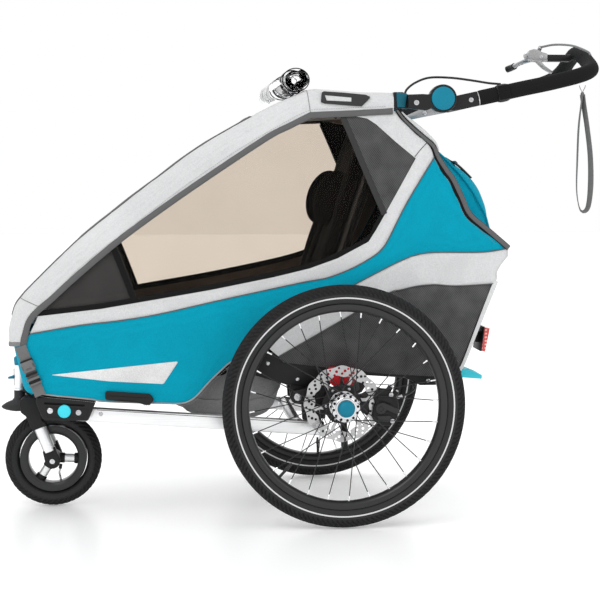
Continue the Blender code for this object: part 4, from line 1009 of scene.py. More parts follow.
# =============================================================== chassis
rails = []
for side, s in SIDES:
    rails.append(prism("rail", [(-0.600, 0.2455), (-0.600, 0.2165), (-0.035, 0.1735), (-0.035, 0.2030)], s * 0.162, s * 0.182, ALU, None, 0.0028, 3))
    rails.append(prism("seam", [(-0.505, 0.2357), (-0.505, 0.2345), (-0.040, 0.1985), (-0.040, 0.1997)], s * 0.1815, s * 0.1824, SATIN))
    rails.append(prism("end_plug", [(-0.0352, 0.2025), (-0.0352, 0.1742), (-0.0300, 0.1745), (-0.0300, 0.2018)], s * 0.163, s * 0.181, BLACK, None, 0.001, 2))
rails.append(rod("front_tube", (-0.571, -0.164, 0.2310), (-0.571, 0.164, 0.2310), 0.0122, ALUY, sides=36))
rails.append(rod("rear_tube", (-0.085, -0.164, 0.1950), (-0.085, 0.164, 0.1950), 0.0120, ALUY, sides=36))
for s in (-1, 1):
    for x, z, r in ((-0.571, 0.2310, 0.0135), (-0.085, 0.1950, 0.0133)):
        rails.append(turned("weld", [(0.0118, s * 0.1595), (r + 0.0012, s * 0.1610), (r + 0.0016, s * 0.1625), (0.0118, s * 0.1630)], (x, 0, z), 40, POLISH))
lower = merge("lower_frame_tubes", rails, 35, "chassis", "silver_tube")
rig.replaces(lower, "lower_frame")
screw_head("left_rail_screw", (-0.497, -0.1819, 0.2265), (0, -1, 0), 0.0045, STEEL, "chassis")
screw_head("right_rail_screw", (-0.497, 0.1819, 0.2265), (0, 1, 0), 0.0045, STEEL, "chassis")

RAIL = [(-0.181, 0.306), (-0.162, 0.352), (-0.128, 0.352), (-0.119, 0.333), (-0.015, 0.322), (0.141, 0.3035), (0.210, 0.2995), (0.206, 0.280), (0.171, 0.280), (0.139, 0.2965), (-0.036, 0.309), (-0.066, 0.280), (-0.112, 0.285)]
PLATE = [(-0.0760, 0.2085), (-0.0360, 0.2055), (-0.0440, 0.2400), (-0.0560, 0.3000), (-0.0980, 0.3000), (-0.1030, 0.2720), (-0.1030, 0.2560), (-0.0930, 0.2485), (-0.0790, 0.2500)]
parts = []
for side, s in SIDES:
    parts.append(prism("rail", RAIL, s * 0.1823, s * 0.1980, BLACK, None, 0.0022, 2))
    parts.append(prism("plate", PLATE, s * 0.1700, s * 0.1870, BLACK, None, 0.0020, 2))
parts.append(prism("beam", [(0.174, 0.2815), (0.2040, 0.2815), (0.2040, 0.2975), (0.174, 0.2975)], -0.1900, 0.1900, SATIN, None, 0.0028, 3))
carrier = merge("rear_carrier_castings", parts, 35, "chassis", "black_plastic")
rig.replaces(carrier, "rear_carrier")
for side, s in SIDES:
    for i, (x, z) in enumerate(((-0.150, 0.330), (-0.088, 0.2960), (0.188, 0.2900))):
        screw_head(f"{side}_carrier_bolt_{i + 1}", (x, s * 0.1979, z), (0, s, 0), 0.0042, STEEL, "chassis")
    turned(f"{side}_arm_bush", [(r, s * a) for r, a in [(0.0052, 0.1868), (0.0120, 0.1868), (0.0132, 0.1885), (0.0132, 0.1990), (0.0120, 0.2004), (0.0052, 0.2004)]], (-0.090, 0, 0.262), 32, STEEL, "chassis", slot="steel")

# =============================================================== front brackets
for side, s in SIDES:
    base = prism(f"{side}_front_bracket_casting", [(-0.629, 0.2560), (-0.6275, 0.2625), (-0.622, 0.2665), (-0.508, 0.2577), (-0.5060, 0.2555), (-0.5215, 0.2180), (-0.5255, 0.2155), (-0.6100, 0.2185), (-0.6155, 0.2215)], s * 0.1823, s * 0.2040, BLACK, None, 0.0030, 3)
    cut(base, rod("cutter", (-0.571, s * 0.190, 0.236), (-0.571, s * 0.22, 0.236), 0.0140, BLACK, sides=36, chamfer=0))
    cut(base, prism("cutter", [(-0.6120, 0.2515), (-0.6110, 0.2560), (-0.5290, 0.2500), (-0.5300, 0.2455)], s * 0.1960, s * 0.21, BLACK))
    cut(base, prism("cutter", [(-0.6075, 0.2465), (-0.6050, 0.2245), (-0.5290, 0.2215), (-0.5200, 0.2405)], s * 0.2028, s * 0.21, BLACK, None, 0.0005, 1))
    lug = prism("lug", [(-0.630, 0.2520), (-0.586, 0.2495), (-0.590, 0.280)] + circle(-0.610, 0.285, 0.0150, 10, 170, 9) + [(-0.630, 0.278)], s * 0.1640, s * 0.1745, BLACK, None, 0.0015, 2)
    foot = prism("foot", [(-0.628, 0.2520), (-0.626, 0.2600), (-0.560, 0.2565), (-0.560, 0.2462), (-0.600, 0.2490)], s * 0.1640, s * 0.1900, BLACK, None, 0.0012, 2)
    pin = rod("pin", (-0.610, s * 0.1700, 0.285), (-0.610, s * 0.1782, 0.285), 0.0048, STEEL)
    base = merge(f"{side}_front_bracket_body", [base, lug, foot, pin], 35, "chassis", "black_plastic")
    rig.replaces(base, f"{side}_front_bracket")
    turned(f"{side}_bracket_rivet", [(0.0, s * 0.2052), (0.0036, s * 0.2050), (0.0058, s * 0.2040), (0.0060, s * 0.2026), (0.0, s * 0.2026)], (-0.6000, 0, 0.2375), 28, POLISH, "chassis", slot="steel")
    screw_head(f"{side}_bracket_screw", (-0.5420, s * 0.2028, 0.2330), (0, s, 0), 0.0060, STEEL, "chassis")
    button = turned(f"{side}_bracket_push_button", [(0.0, s * 0.1975), (0.0135, s * 0.1975), (0.0135, s * 0.2052), (0.0128, s * 0.2064), (0.0105, s * 0.2073), (0.0, s * 0.2075)], (-0.571, 0, 0.236), 48, TEALB, f"{side}_bracket_button", slot="teal_plastic")
    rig.replaces(button, f"{side}_bracket_button")

# =============================================================== caster
CX = -0.678
HX, HZ = -0.606, 0.105
arm = prism("caster_arm_beam", [(-0.6700, 0.2550), (-0.6700, 0.2640), (-0.6680, 0.2655), (-0.552, 0.2655), (-0.548, 0.2620), (-0.548, 0.2475), (-0.552, 0.2440), (-0.590, 0.2440), (-0.5935, 0.2475), (-0.6610, 0.2475), (-0.6640, 0.2500)], -0.020, 0.020, BLACK, None, 0.0022, 2)
head = turned("head", [(0.0068, 0.2550), (0.0130, 0.2550), (0.0134, 0.2556), (0.0134, 0.2585), (0.0117, 0.2600), (0.0115, 0.2620), (0.0115, 0.3060), (0.0119, 0.3066), (0.0119, 0.3094), (0.0112, 0.3100), (0.0068, 0.3100)], (CX, 0, 0), 48, ALU, axis="Z")
strip = prism("strip", [(-0.6900, 0.2650), (-0.6900, 0.3020), (-0.6885, 0.3020), (-0.6885, 0.2650)], -0.0030, 0.0030, BLACK)
tongue = prism("tongue", [(-0.7030, 0.2830), (-0.6900, 0.2870), (-0.6890, 0.2800), (-0.7015, 0.2795)], -0.0060, 0.0060, TEALP, None, 0.001, 2)
arm = merge("caster_head_and_arm", [arm, head, strip, tongue], 35, "chassis", "black_plastic")
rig.replaces(arm, "caster_arm")
knob = turned("swivel_lock_knob_grip", [(0.0, 0.2850), (0.0050, 0.2850), (0.0050, 0.3103), (0.0098, 0.3103), (0.0106, 0.3110), (0.0108, 0.3180), (0.0112, 0.3215), (0.0104, 0.3262), (0.0080, 0.3285), (0.0, 0.3290)], (CX, 0, 0), 60, TEALP, "swivel_lock", axis="Z", slot="teal_plastic", wobble=lambda t, j: 0.0004 * cos(12 * t) if 5 <= j <= 7 else 0)
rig.replaces(knob, "swivel_lock_knob")

crown = prism("crown", [(-0.6750, 0.2320), (-0.6720, 0.2400), (-0.6645, 0.2455), (-0.6400, 0.2440), (-0.6375, 0.2415), (-0.6275, 0.1950), (-0.6175, 0.1850), (-0.6180, 0.1820), (-0.6450, 0.1725), (-0.6480, 0.1735), (-0.6620, 0.2040), (-0.6720, 0.2120)], -0.0520, 0.0520, BLACK, None, 0.0040, 3)
cut(crown, turned("cutter", [(0.0, -0.0310), (0.1115, -0.0310), (0.1115, 0.0310), (0.0, 0.0310)], (HX, 0, HZ), 96, BLACK))
neck = turned("neck", [(0.0, 0.2150), (0.0122, 0.2150), (0.0150, 0.2320), (0.0150, 0.2350), (0.0124, 0.2370), (0.0120, 0.2420), (0.0120, 0.2538), (0.0, 0.2538)], (CX, 0, 0), 48, DARK, axis="Z")
bm = bmesh.new()
stations = [(-0.7170, 0.2185, 0.0022, 0.0016), (-0.7130, 0.2186, 0.0080, 0.0050), (-0.7060, 0.2195, 0.0120, 0.0085), (-0.6970, 0.2205, 0.0140, 0.0115), (-0.6860, 0.2215, 0.0145, 0.0140), (-0.6760, 0.2222, 0.0145, 0.0145), (-0.6680, 0.2228, 0.0140, 0.0140)]
loops = [[bm.verts.new(W((x, w * cos(2 * pi * k / 24), z + h * sin(2 * pi * k / 24)))) for k in range(24)] for x, z, w, h in stations]
for a, b in zip(loops, loops[1:]):
    for k in range(24):
        bm.faces.new((a[k], a[(k + 1) % 24], b[(k + 1) % 24], b[k]))
bm.faces.new(loops[0][::-1])
bm.faces.new(loops[-1])
nose = obj_bm("nose", bm, DARK, 50)
fork = [crown, neck, nose]
leg, top = Vector((0.3624, 0, -0.9320)), Vector((-0.632, 0, 0.178))
for s in (-1, 1):
    p, q = top + leg * 0.000, top + leg * 0.0560
    fork.append(rod("leg", (p.x, s * 0.0425, p.z), (q.x, s * 0.0425, q.z), 0.0132, ALU, sides=40))
    e = top + leg * 0.0500
    across = Vector((0.9320, 0, 0.3624))
    a, b = e - across * 0.0140, e + across * 0.0140
    fork.append(prism("dropout", [(a.x, a.z), (b.x, b.z)] + circle(HX, HZ, 0.0165, 20, -150, 17), s * 0.0330, s * 0.0518, BLACK, None, 0.0022, 3))
fork = merge("caster_fork_assembly", fork, 35, "caster_fork", "black_plastic")
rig.replaces(fork, "caster_fork")
axle = turned("caster_axle_bolt", [(0.0, -0.0560), (0.0020, -0.0560), (0.0026, -0.0556), (0.0050, -0.0556), (0.0058, -0.0546), (0.0058, -0.0522), (0.0041, -0.0522), (0.0041, 0.0522), (0.0075, 0.0522), (0.0075, 0.0546), (0.0066, 0.0556), (0.0026, 0.0556), (0.0020, 0.0560), (0.0, 0.0560)], (HX, 0, HZ), 36, POLISH, "caster_fork", slot="steel")
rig.replaces(axle, "caster_axle")

# caster wheel
rim = [turned("rim", [(0.0540, -0.0150), (0.0536, 0.0), (0.0540, 0.0150), (0.0548, 0.0168), (0.0600, 0.0196), (0.0640, 0.0200), (0.0715, 0.0192), (0.0720, 0.0180), (0.0700, 0.0150), (0.0692, 0.0), (0.0700, -0.0150), (0.0720, -0.0180), (0.0715, -0.0192), (0.0640, -0.0200), (0.0600, -0.0196), (0.0548, -0.0168)], (HX, 0, HZ), 120, SATIN)]
rim.append(turned("hub", [(0.0046, -0.0300), (0.0130, -0.0300), (0.0142, -0.0290), (0.0148, -0.0200), (0.0165, -0.0150), (0.0165, 0.0150), (0.0148, 0.0200), (0.0142, 0.0290), (0.0130, 0.0300), (0.0046, 0.0300)], (HX, 0, HZ), 60, BLACK))
for i in range(3):
    t = radians(-3 + 120 * i)
    d = Vector((cos(t), 0, sin(t)))
    c = Vector((HX, 0, HZ))
    rim.append(rod("spoke", c + d * 0.0180, c + d * 0.0500, 0.0096, ALU, sides=32))
    rim.append(rod("boot", c + d * 0.0120, c + d * 0.0245, 0.0112, BLACK, sides=32, chamfer=0.0012))
    rim.append(rod("socket", c + d * 0.0450, c + d * 0.0555, 0.0118, BLACK, sides=32, chamfer=0.0012))
t = radians(-72)
vp = [(HX + 0.0500 * cos(t), -0.004, HZ + 0.0545 * sin(t)), (HX + 0.0450 * cos(t), -0.006, HZ + 0.0430 * sin(t)), (HX + 0.030 * cos(t) + 0.003, -0.010, HZ + 0.034 * sin(t)), (HX + 0.020 * cos(t) + 0.008, -0.012, HZ + 0.024 * sin(t))]
rim.append(tube("valve", vp, 0.0021, STEEL, None, 5, 12))
e0, e1 = Vector(vp[-1]), Vector(vp[-1]) + (Vector(vp[-1]) - Vector(vp[-2])).normalized() * 0.010
rim.append(rod("valve_cap", e0, e1, 0.0036, BLACK, sides=18))
rim = merge("caster_wheel_rim", rim, 35, "caster_wheel", "black_plastic")
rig.replaces(rim, "caster_rim")
segs, ring = 400, 56
verts, faces = [], []
for i in range(segs):
    th = 2 * pi * i / segs
    for k in range(ring):
        t = 2 * pi * k / ring - pi
        deg = abs(t) * 180 / pi
        d = 0.0
        if deg < 84:
            cell = (th * 50 / (2 * pi) + (deg / 34.0 if t > 0 else -deg / 34.0)) % 1.0
            d = 0.0022 if cell < 0.58 and not 3 < deg < 8 else 0.0
        elif 96 < deg < 102 or 126 < deg < 131:
            d = 0.0004
        rr = 0.0882 + (0.0146 + d) * cos(t)
        verts.append(W((HX + rr * cos(th), (0.0213 + d) * sin(t), HZ + rr * sin(th))))
for i in range(segs):
    j = (i + 1) % segs
    for k in range(ring):
        m = (k + 1) % ring
        faces.append((i * ring + k, i * ring + m, j * ring + m, j * ring + k))
tyre = obj_from("caster_tyre_tread", verts, faces, [TYRE, SIDEWALL], 28, None, "tyre_rubber")
bm = bmesh.new()
bm.from_mesh(tyre.data)
for f in bm.faces:
    p = f.calc_center_median()
    f.material_index = 1 if hypot(p.x - DX - HX, p.z - HZ) < 0.0905 else 0
bmesh.ops.recalc_face_normals(bm, faces=bm.faces)
bm.to_mesh(tyre.data)
bm.free()
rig.ride(tyre, "caster_wheel")
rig.replaces(tyre, "caster_tyre")

# =============================================================== handlebar and fold joints
HP = (0.212, 0.879)
SL = radians(12.4)
U, Wn = Vector((cos(SL), 0, sin(SL))), Vector((-sin(SL), 0, cos(SL)))
HUB = Vector((HP[0], 0, HP[1] - 0.0155))


def ap(t, h=0.0):
    p = HUB + U * t + Wn * h
    return (p.x, p.z)


for side, s in SIDES:
    collar = prism("collar", [(0.1106, 0.8590), (0.1106, 0.8910), (0.1120, 0.8925), (0.1300, 0.8925), (0.1400, 0.8880), (0.1450, 0.8875), (0.1450, 0.8590)], s * 0.1720, s * 0.2040, BLACK, None, 0.0025, 3)
    pts = [(0.1395, 0.8590), (0.1395, 0.8868), (0.1700, 0.8880), (0.1820, 0.8872), (0.1865, 0.8895)] + circle(HP[0], HP[1], 0.0290, 150, -140, 44) + [(0.1870, 0.8580), (0.1780, 0.8545)]
    link = prism("link", pts, s * 0.2013, s * 0.2215, BLACK, None, 0.0022, 3)
    cut(link, rod("cutter", (HP[0], s * 0.2174, HP[1]), (HP[0], s * 0.24, HP[1]), 0.0252, BLACK, sides=64, chamfer=0))
    body = merge(f"{side}_fold_joint_body", [collar, link], 35, "upper_frame", "black_plastic")
    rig.replaces(body, f"{side}_fold_joint")
    screw_head(f"{side}_link_screw", (0.1560, s * 0.2213, 0.8700), (0, s, 0), 0.0056, STEEL, "upper_frame", depth=0.0016)
    button = turned(f"{side}_handle_push_button", [(0.0, s * 0.2206), (0.0243, s * 0.2206), (0.0243, s * 0.2226), (0.0236, s * 0.2240), (0.0215, s * 0.2250), (0.0100, s * 0.2255), (0.0, s * 0.2255)], (HP[0], 0, HP[1]), 72, TEALP, f"{side}_handle_button", slot="teal_plastic")
    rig.replaces(button, f"{side}_handle_button")
    latch = prism(f"{side}_fold_latch_tab", [(0.1180, 0.8620), (0.1165, 0.8905), (0.1178, 0.8920), (0.1380, 0.8895), (0.1388, 0.8880), (0.1345, 0.8625), (0.1332, 0.8612), (0.1190, 0.8610)], s * 0.2043, s * 0.2085, TEALD, f"{side}_fold_latch", 0.0009, 2, "teal_plastic")
    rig.replaces(latch, f"{side}_fold_latch")

half = [(*ap(0.0785), 0.1885), (*ap(0.120), 0.1885), (*ap(0.180), 0.1885), (0.440, 0.9130, 0.1885), (0.492, 0.9255, 0.1870), (0.520, 0.9340, 0.1800), (0.538, 0.9420, 0.1630), (0.546, 0.9500, 0.1380), (0.550, 0.9620, 0.1000), (0.551, 0.9780, 0.0550)]
bar = [(x, -y, z) for x, z, y in half] + [(0.550, 0.0, 0.9890)] + [(x, y, z) for x, z, y in half[::-1]]
parts = [tube("bar", bar, 0.0110, ALU, None, 5, 24)]
for s in (-1, 1):
    pts = circle(HP[0], HP[1], 0.0260, 80, 280, 21) + [ap(0.030, -0.0140), ap(0.0790, -0.0150), ap(0.0800, -0.0140), ap(0.0800, 0.0140), ap(0.0790, 0.0150), ap(0.034, 0.0150)]
    parts.append(prism("socket", pts, s * 0.1760, s * 0.2007, BLACK, None, 0.0024, 3))
    a, b = ap(0.0800), ap(0.0822)
    parts.append(rod("collar", (a[0], s * 0.1885, a[1]), (b[0], s * 0.1885, b[1]), 0.0152, POLISH, sides=40, chamfer=0.0004))
    parts.append(turned("wheel", [(0.0, s * 0.2005), (0.0200, s * 0.2005), (0.0200, s * 0.2011), (0.0, s * 0.2011)], (HP[0], 0, HP[1]), 40, STEEL))
bar_obj = merge("handlebar_tube_and_sockets", parts, 35, "handlebar", "silver_tube")
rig.replaces(bar_obj, "handlebar")
for side, s in SIDES:
    plate = [ap(-0.0120, -0.0135), ap(0.0760, -0.0145), ap(0.0775, -0.0125), ap(0.0775, 0.0040), ap(0.0700, 0.0060), ap(0.0200, 0.0050), ap(-0.0120, -0.0020)]
    prism(f"{side}_socket_inner_plate", plate, s * 0.1738, s * 0.1762, CAST, "handlebar", 0.0008, 2, "steel")
    p = ap(0.0300, -0.0060)
    screw_head(f"{side}_inner_plate_screw", (p[0], s * 0.1738, p[1]), (0, -s, 0), 0.0050, STEEL, "handlebar", depth=0.0014)
    p = ap(0.0640, 0.0)
    screw_head(f"{side}_socket_screw", (p[0], s * 0.2005, p[1]), (0, s, 0), 0.0052, STEEL, "handlebar", depth=0.0016)
gs = [(*ap(0.0832), 0.1885)] + half[1:]
grip = [(x, -y, z) for x, z, y in gs] + [(0.550, 0.0, 0.9890)] + [(x, y, z) for x, z, y in gs[::-1]]
route = [W(p) for p in catmull(grip, 8)]
v, f = tube_mesh(route, lambda q: 0.0160 if 0.004 < q < 0.996 else 0.0152, 28)
foam = obj_from("foam_grip_sleeve", v, f, FOAM, 45, "handlebar", "foam")
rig.replaces(foam, "foam_grip")


# =============================================================== fabric helpers
def seg_dist(p, a, b):
    ab, ap_ = (b[0] - a[0], b[1] - a[1]), (p[0] - a[0], p[1] - a[1])
    d = ab[0] ** 2 + ab[1] ** 2
    t = 0 if d < 1e-14 else max(0, min(1, (ap_[0] * ab[0] + ap_[1] * ab[1]) / d))
    return hypot(p[0] - a[0] - ab[0] * t, p[1] - a[1] - ab[1] * t)


def swell(x, z):
    """Slow waves in the stretched side cloth, shared by all its panels."""
    return 0.0013 * noise.noise(Vector((x * 7.0, 0.3, z * 9.0))) + 0.0007 * noise.noise(Vector((x * 26.0, 4.1, z * 17.0)))


def cloth(name, outline, s, base, mat, inner, ride="chassis", thick=0.0014, cell=0.011, pinch=0.0011, slot=None, extra=None, flat_edge=0.006, squashed=True):
    """A sewn panel: (x, z) outline at depth s * base, gridded, drawn in towards its seams."""
    bm = bmesh.new()
    bm.faces.new([bm.verts.new((x, 0, z)) for x, z in outline])
    xs, zs = [p[0] for p in outline], [p[1] for p in outline]
    for k, lo, hi in ((0, min(xs), max(xs)), (2, min(zs), max(zs))):
        n = int((hi - lo) / cell)
        for i in range(1, n + 1):
            co, no = [0, 0, 0], [0, 0, 0]
            co[k] = lo + (hi - lo) * i / (n + 1)
            no[k] = 1
            bmesh.ops.bisect_plane(bm, geom=bm.verts[:] + bm.edges[:] + bm.faces[:], plane_co=co, plane_no=no)
    bmesh.ops.triangulate(bm, faces=[f for f in bm.faces if len(f.verts) > 4])
    for v in bm.verts:
        x, z = v.co.x, v.co.z
        d = min(seg_dist((x, z), a, b) for a, b in zip(outline, outline[1:] + outline[:1]))
        fade = min(1.0, d / flat_edge)
        y = base - pinch * (1 - fade) ** 2 + swell(x, z) * (0.35 + 0.65 * fade)
        if extra:
            y += extra(x, z, d)
        v.co = W((x, s * y, z))
    bmesh.ops.recalc_face_normals(bm, faces=bm.faces)
    n = sum((f.normal * f.calc_area() for f in bm.faces), Vector())
    if n.y * s < 0:
        bmesh.ops.reverse_faces(bm, faces=bm.faces)
    o = obj_bm(name, bm, [mat, inner], 45, None, slot, recalc=False)
    m = o.modifiers.new("thickness", "SOLIDIFY")
    m.thickness, m.offset, m.material_offset = thick, -1.0, 1
    apply_mods(o)
    o.data.shade_smooth()
    o.data.set_sharp_from_angle(angle=radians(45))
    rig.ride(o, ride)
    if squashed:
        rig.squash(o, "frame_fold", axis=(0, 0, 1), anchor=(0, 0, 0.27), keep=0.325)
    return o


def band(name, line, width, s, base, mat, ride="chassis", height=0.0016, squashed=True, per=5, slot=None, round_=True, y_of=None):
    """Binding or piping: a rounded strip that follows an (x, z) line on the side."""
    pts = [Vector((x, 0, z)) for x, z in line]
    path = catmull(pts, per) if per > 1 else pts
    path = along(path, max(4, int(length_of(path) / 0.006)))
    prof = [(-0.5, -0.6), (-0.5, 0.25), (-0.36, 0.8), (-0.15, 1.0), (0.15, 1.0), (0.36, 0.8), (0.5, 0.25), (0.5, -0.6)] if round_ else [(-0.5, -0.6), (-0.5, 1.0), (0.5, 1.0), (0.5, -0.6)]
    verts, faces = [], []
    n = len(path)
    for i, p in enumerate(path):
        t = (path[min(i + 1, n - 1)] - path[max(i - 1, 0)]).normalized()
        side = Vector((-t.z, 0, t.x))
        wv = width(i / (n - 1)) if callable(width) else width
        for u, h in prof:
            q = p + side * (u * wv)
            y = (y_of(q.x, q.z) if y_of else base + swell(q.x, q.z) * 0.35) + height * h
            verts.append(W((q.x, s * y, q.z)))
    k = len(prof)
    for i in range(n - 1):
        for j in range(k):
            m = (j + 1) % k
            faces.append((i * k + j, i * k + m, (i + 1) * k + m, (i + 1) * k + j))
    faces.append(tuple(range(k))[::-1])
    faces.append(tuple((n - 1) * k + j for j in range(k)))
    bm = bmesh.new()
    vs = [bm.verts.new(v) for v in verts]
    for f in faces:
        bm.faces.new([vs[i] for i in f])
    o = obj_bm(name, bm, mat, 50, ride, slot)
    if squashed:
        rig.squash(o, "frame_fold", axis=(0, 0, 1), anchor=(0, 0, 0.27), keep=0.325)
    return o


def stitches(name, line, s, base, mat, pitch=0.0045, ride="chassis", squashed=True, off=0.0, y_of=None, r=0.00035):
    """A row of short raised stitches beside a seam."""
    path = catmull([Vector((x, 0, z)) for x, z in line], 5)
    n = max(3, int(length_of(path) / pitch))
    path = along(path, n * 2)
    verts, faces = [], []
    for i in range(0, len(path) - 1, 2):
        t = (path[i + 1] - path[i])
        side = Vector((-t.z, 0, t.x)).normalized() * off
        a, b = path[i] + side, path[i] + side + t * 1.25
        ya = (y_of(a.x, a.z) if y_of else base + swell(a.x, a.z))
        yb = (y_of(b.x, b.z) if y_of else base + swell(b.x, b.z))
        v, f = tube_mesh([W((a.x, s * ya, a.z)), W(((a.x + b.x) / 2, s * (ya + yb) / 2 + s * 0.0002, (a.z + b.z) / 2)), W((b.x, s * yb, b.z))], r, 5)
        k = len(verts)
        verts += v
        faces += [tuple(q + k for q in g) for g in f]
    o = obj_from(name, verts, faces, mat, 0, ride)
    if squashed:
        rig.squash(o, "frame_fold", axis=(0, 0, 1), anchor=(0, 0, 0.27), keep=0.325)
    return o


# =============================================================== sides
BAND_UP = [(-0.622, 0.433), (-0.494, 0.447), (-0.373, 0.467), (-0.266, 0.485), (-0.139, 0.510), (-0.063, 0.528), (-0.004, 0.549), (0.060, 0.583), (0.076, 0.608), (0.092, 0.636), (0.158, 0.755)]
BAND_LOW = [(-0.639, 0.397), (-0.536, 0.414), (-0.454, 0.423), (-0.373, 0.436), (-0.246, 0.464), (-0.084, 0.498), (-0.024, 0.509), (0.030, 0.530), (0.076, 0.557), (0.097, 0.580), (0.140, 0.664), (0.200, 0.763)]
DARK_UP = [(0.024, 0.844), (0.056, 0.838), (0.075, 0.826), (0.116, 0.790), (0.158, 0.756)]
ZIP = [(0.118, 0.855), (0.133, 0.836), (0.153, 0.817), (0.177, 0.797), (0.196, 0.780), (0.205, 0.759), (0.222, 0.733), (0.237, 0.713), (0.255, 0.677), (0.273, 0.640), (0.305, 0.612), (0.336, 0.586), (0.356, 0.569)]
P_MID = [(-0.6530, 0.3740), (-0.6490, 0.3940), (-0.6410, 0.4210), (-0.6250, 0.4420), (-0.5980, 0.4650), (-0.5400, 0.5175), (-0.4570, 0.5870), (-0.3600, 0.6580), (-0.2700, 0.7200), (-0.1500, 0.7990), (-0.1070, 0.8210), (-0.0660, 0.8415), (-0.0540, 0.8445), (0.0240, 0.8480), (0.1090, 0.8530)]
LUG_UP = [(-0.1650, 0.3760), (-0.1050, 0.4130), (-0.0350, 0.4560), (0.0370, 0.4970), (0.1090, 0.5340), (0.1330, 0.5450), (0.1570, 0.5540), (0.1970, 0.5600), (0.2990, 0.5600), (0.3560, 0.5680)]
LUG_LOW = [(-0.1280, 0.3450), (-0.0500, 0.3890), (0.0310, 0.4350), (0.1050, 0.4770), (0.1260, 0.4820), (0.1620, 0.4900), (0.2000, 0.4930), (0.2450, 0.4900), (0.3280, 0.4940)]
HEM = [(-0.635, 0.2800), (-0.608, 0.2715), (-0.512, 0.2600), (-0.500, 0.2565), (-0.432, 0.2525), (-0.365, 0.2500), (-0.340, 0.2490), (-0.320, 0.2515), (-0.303, 0.2610), (-0.290, 0.2740), (-0.276, 0.2900), (-0.262, 0.3040), (-0.246, 0.3190), (-0.230, 0.3330), (-0.205, 0.3460), (-0.165, 0.3560)]
SIDE_Y = 0.2038


def puff(x, z, d):
    return 0.0030 * min(1.0, d / 0.035) ** 0.7


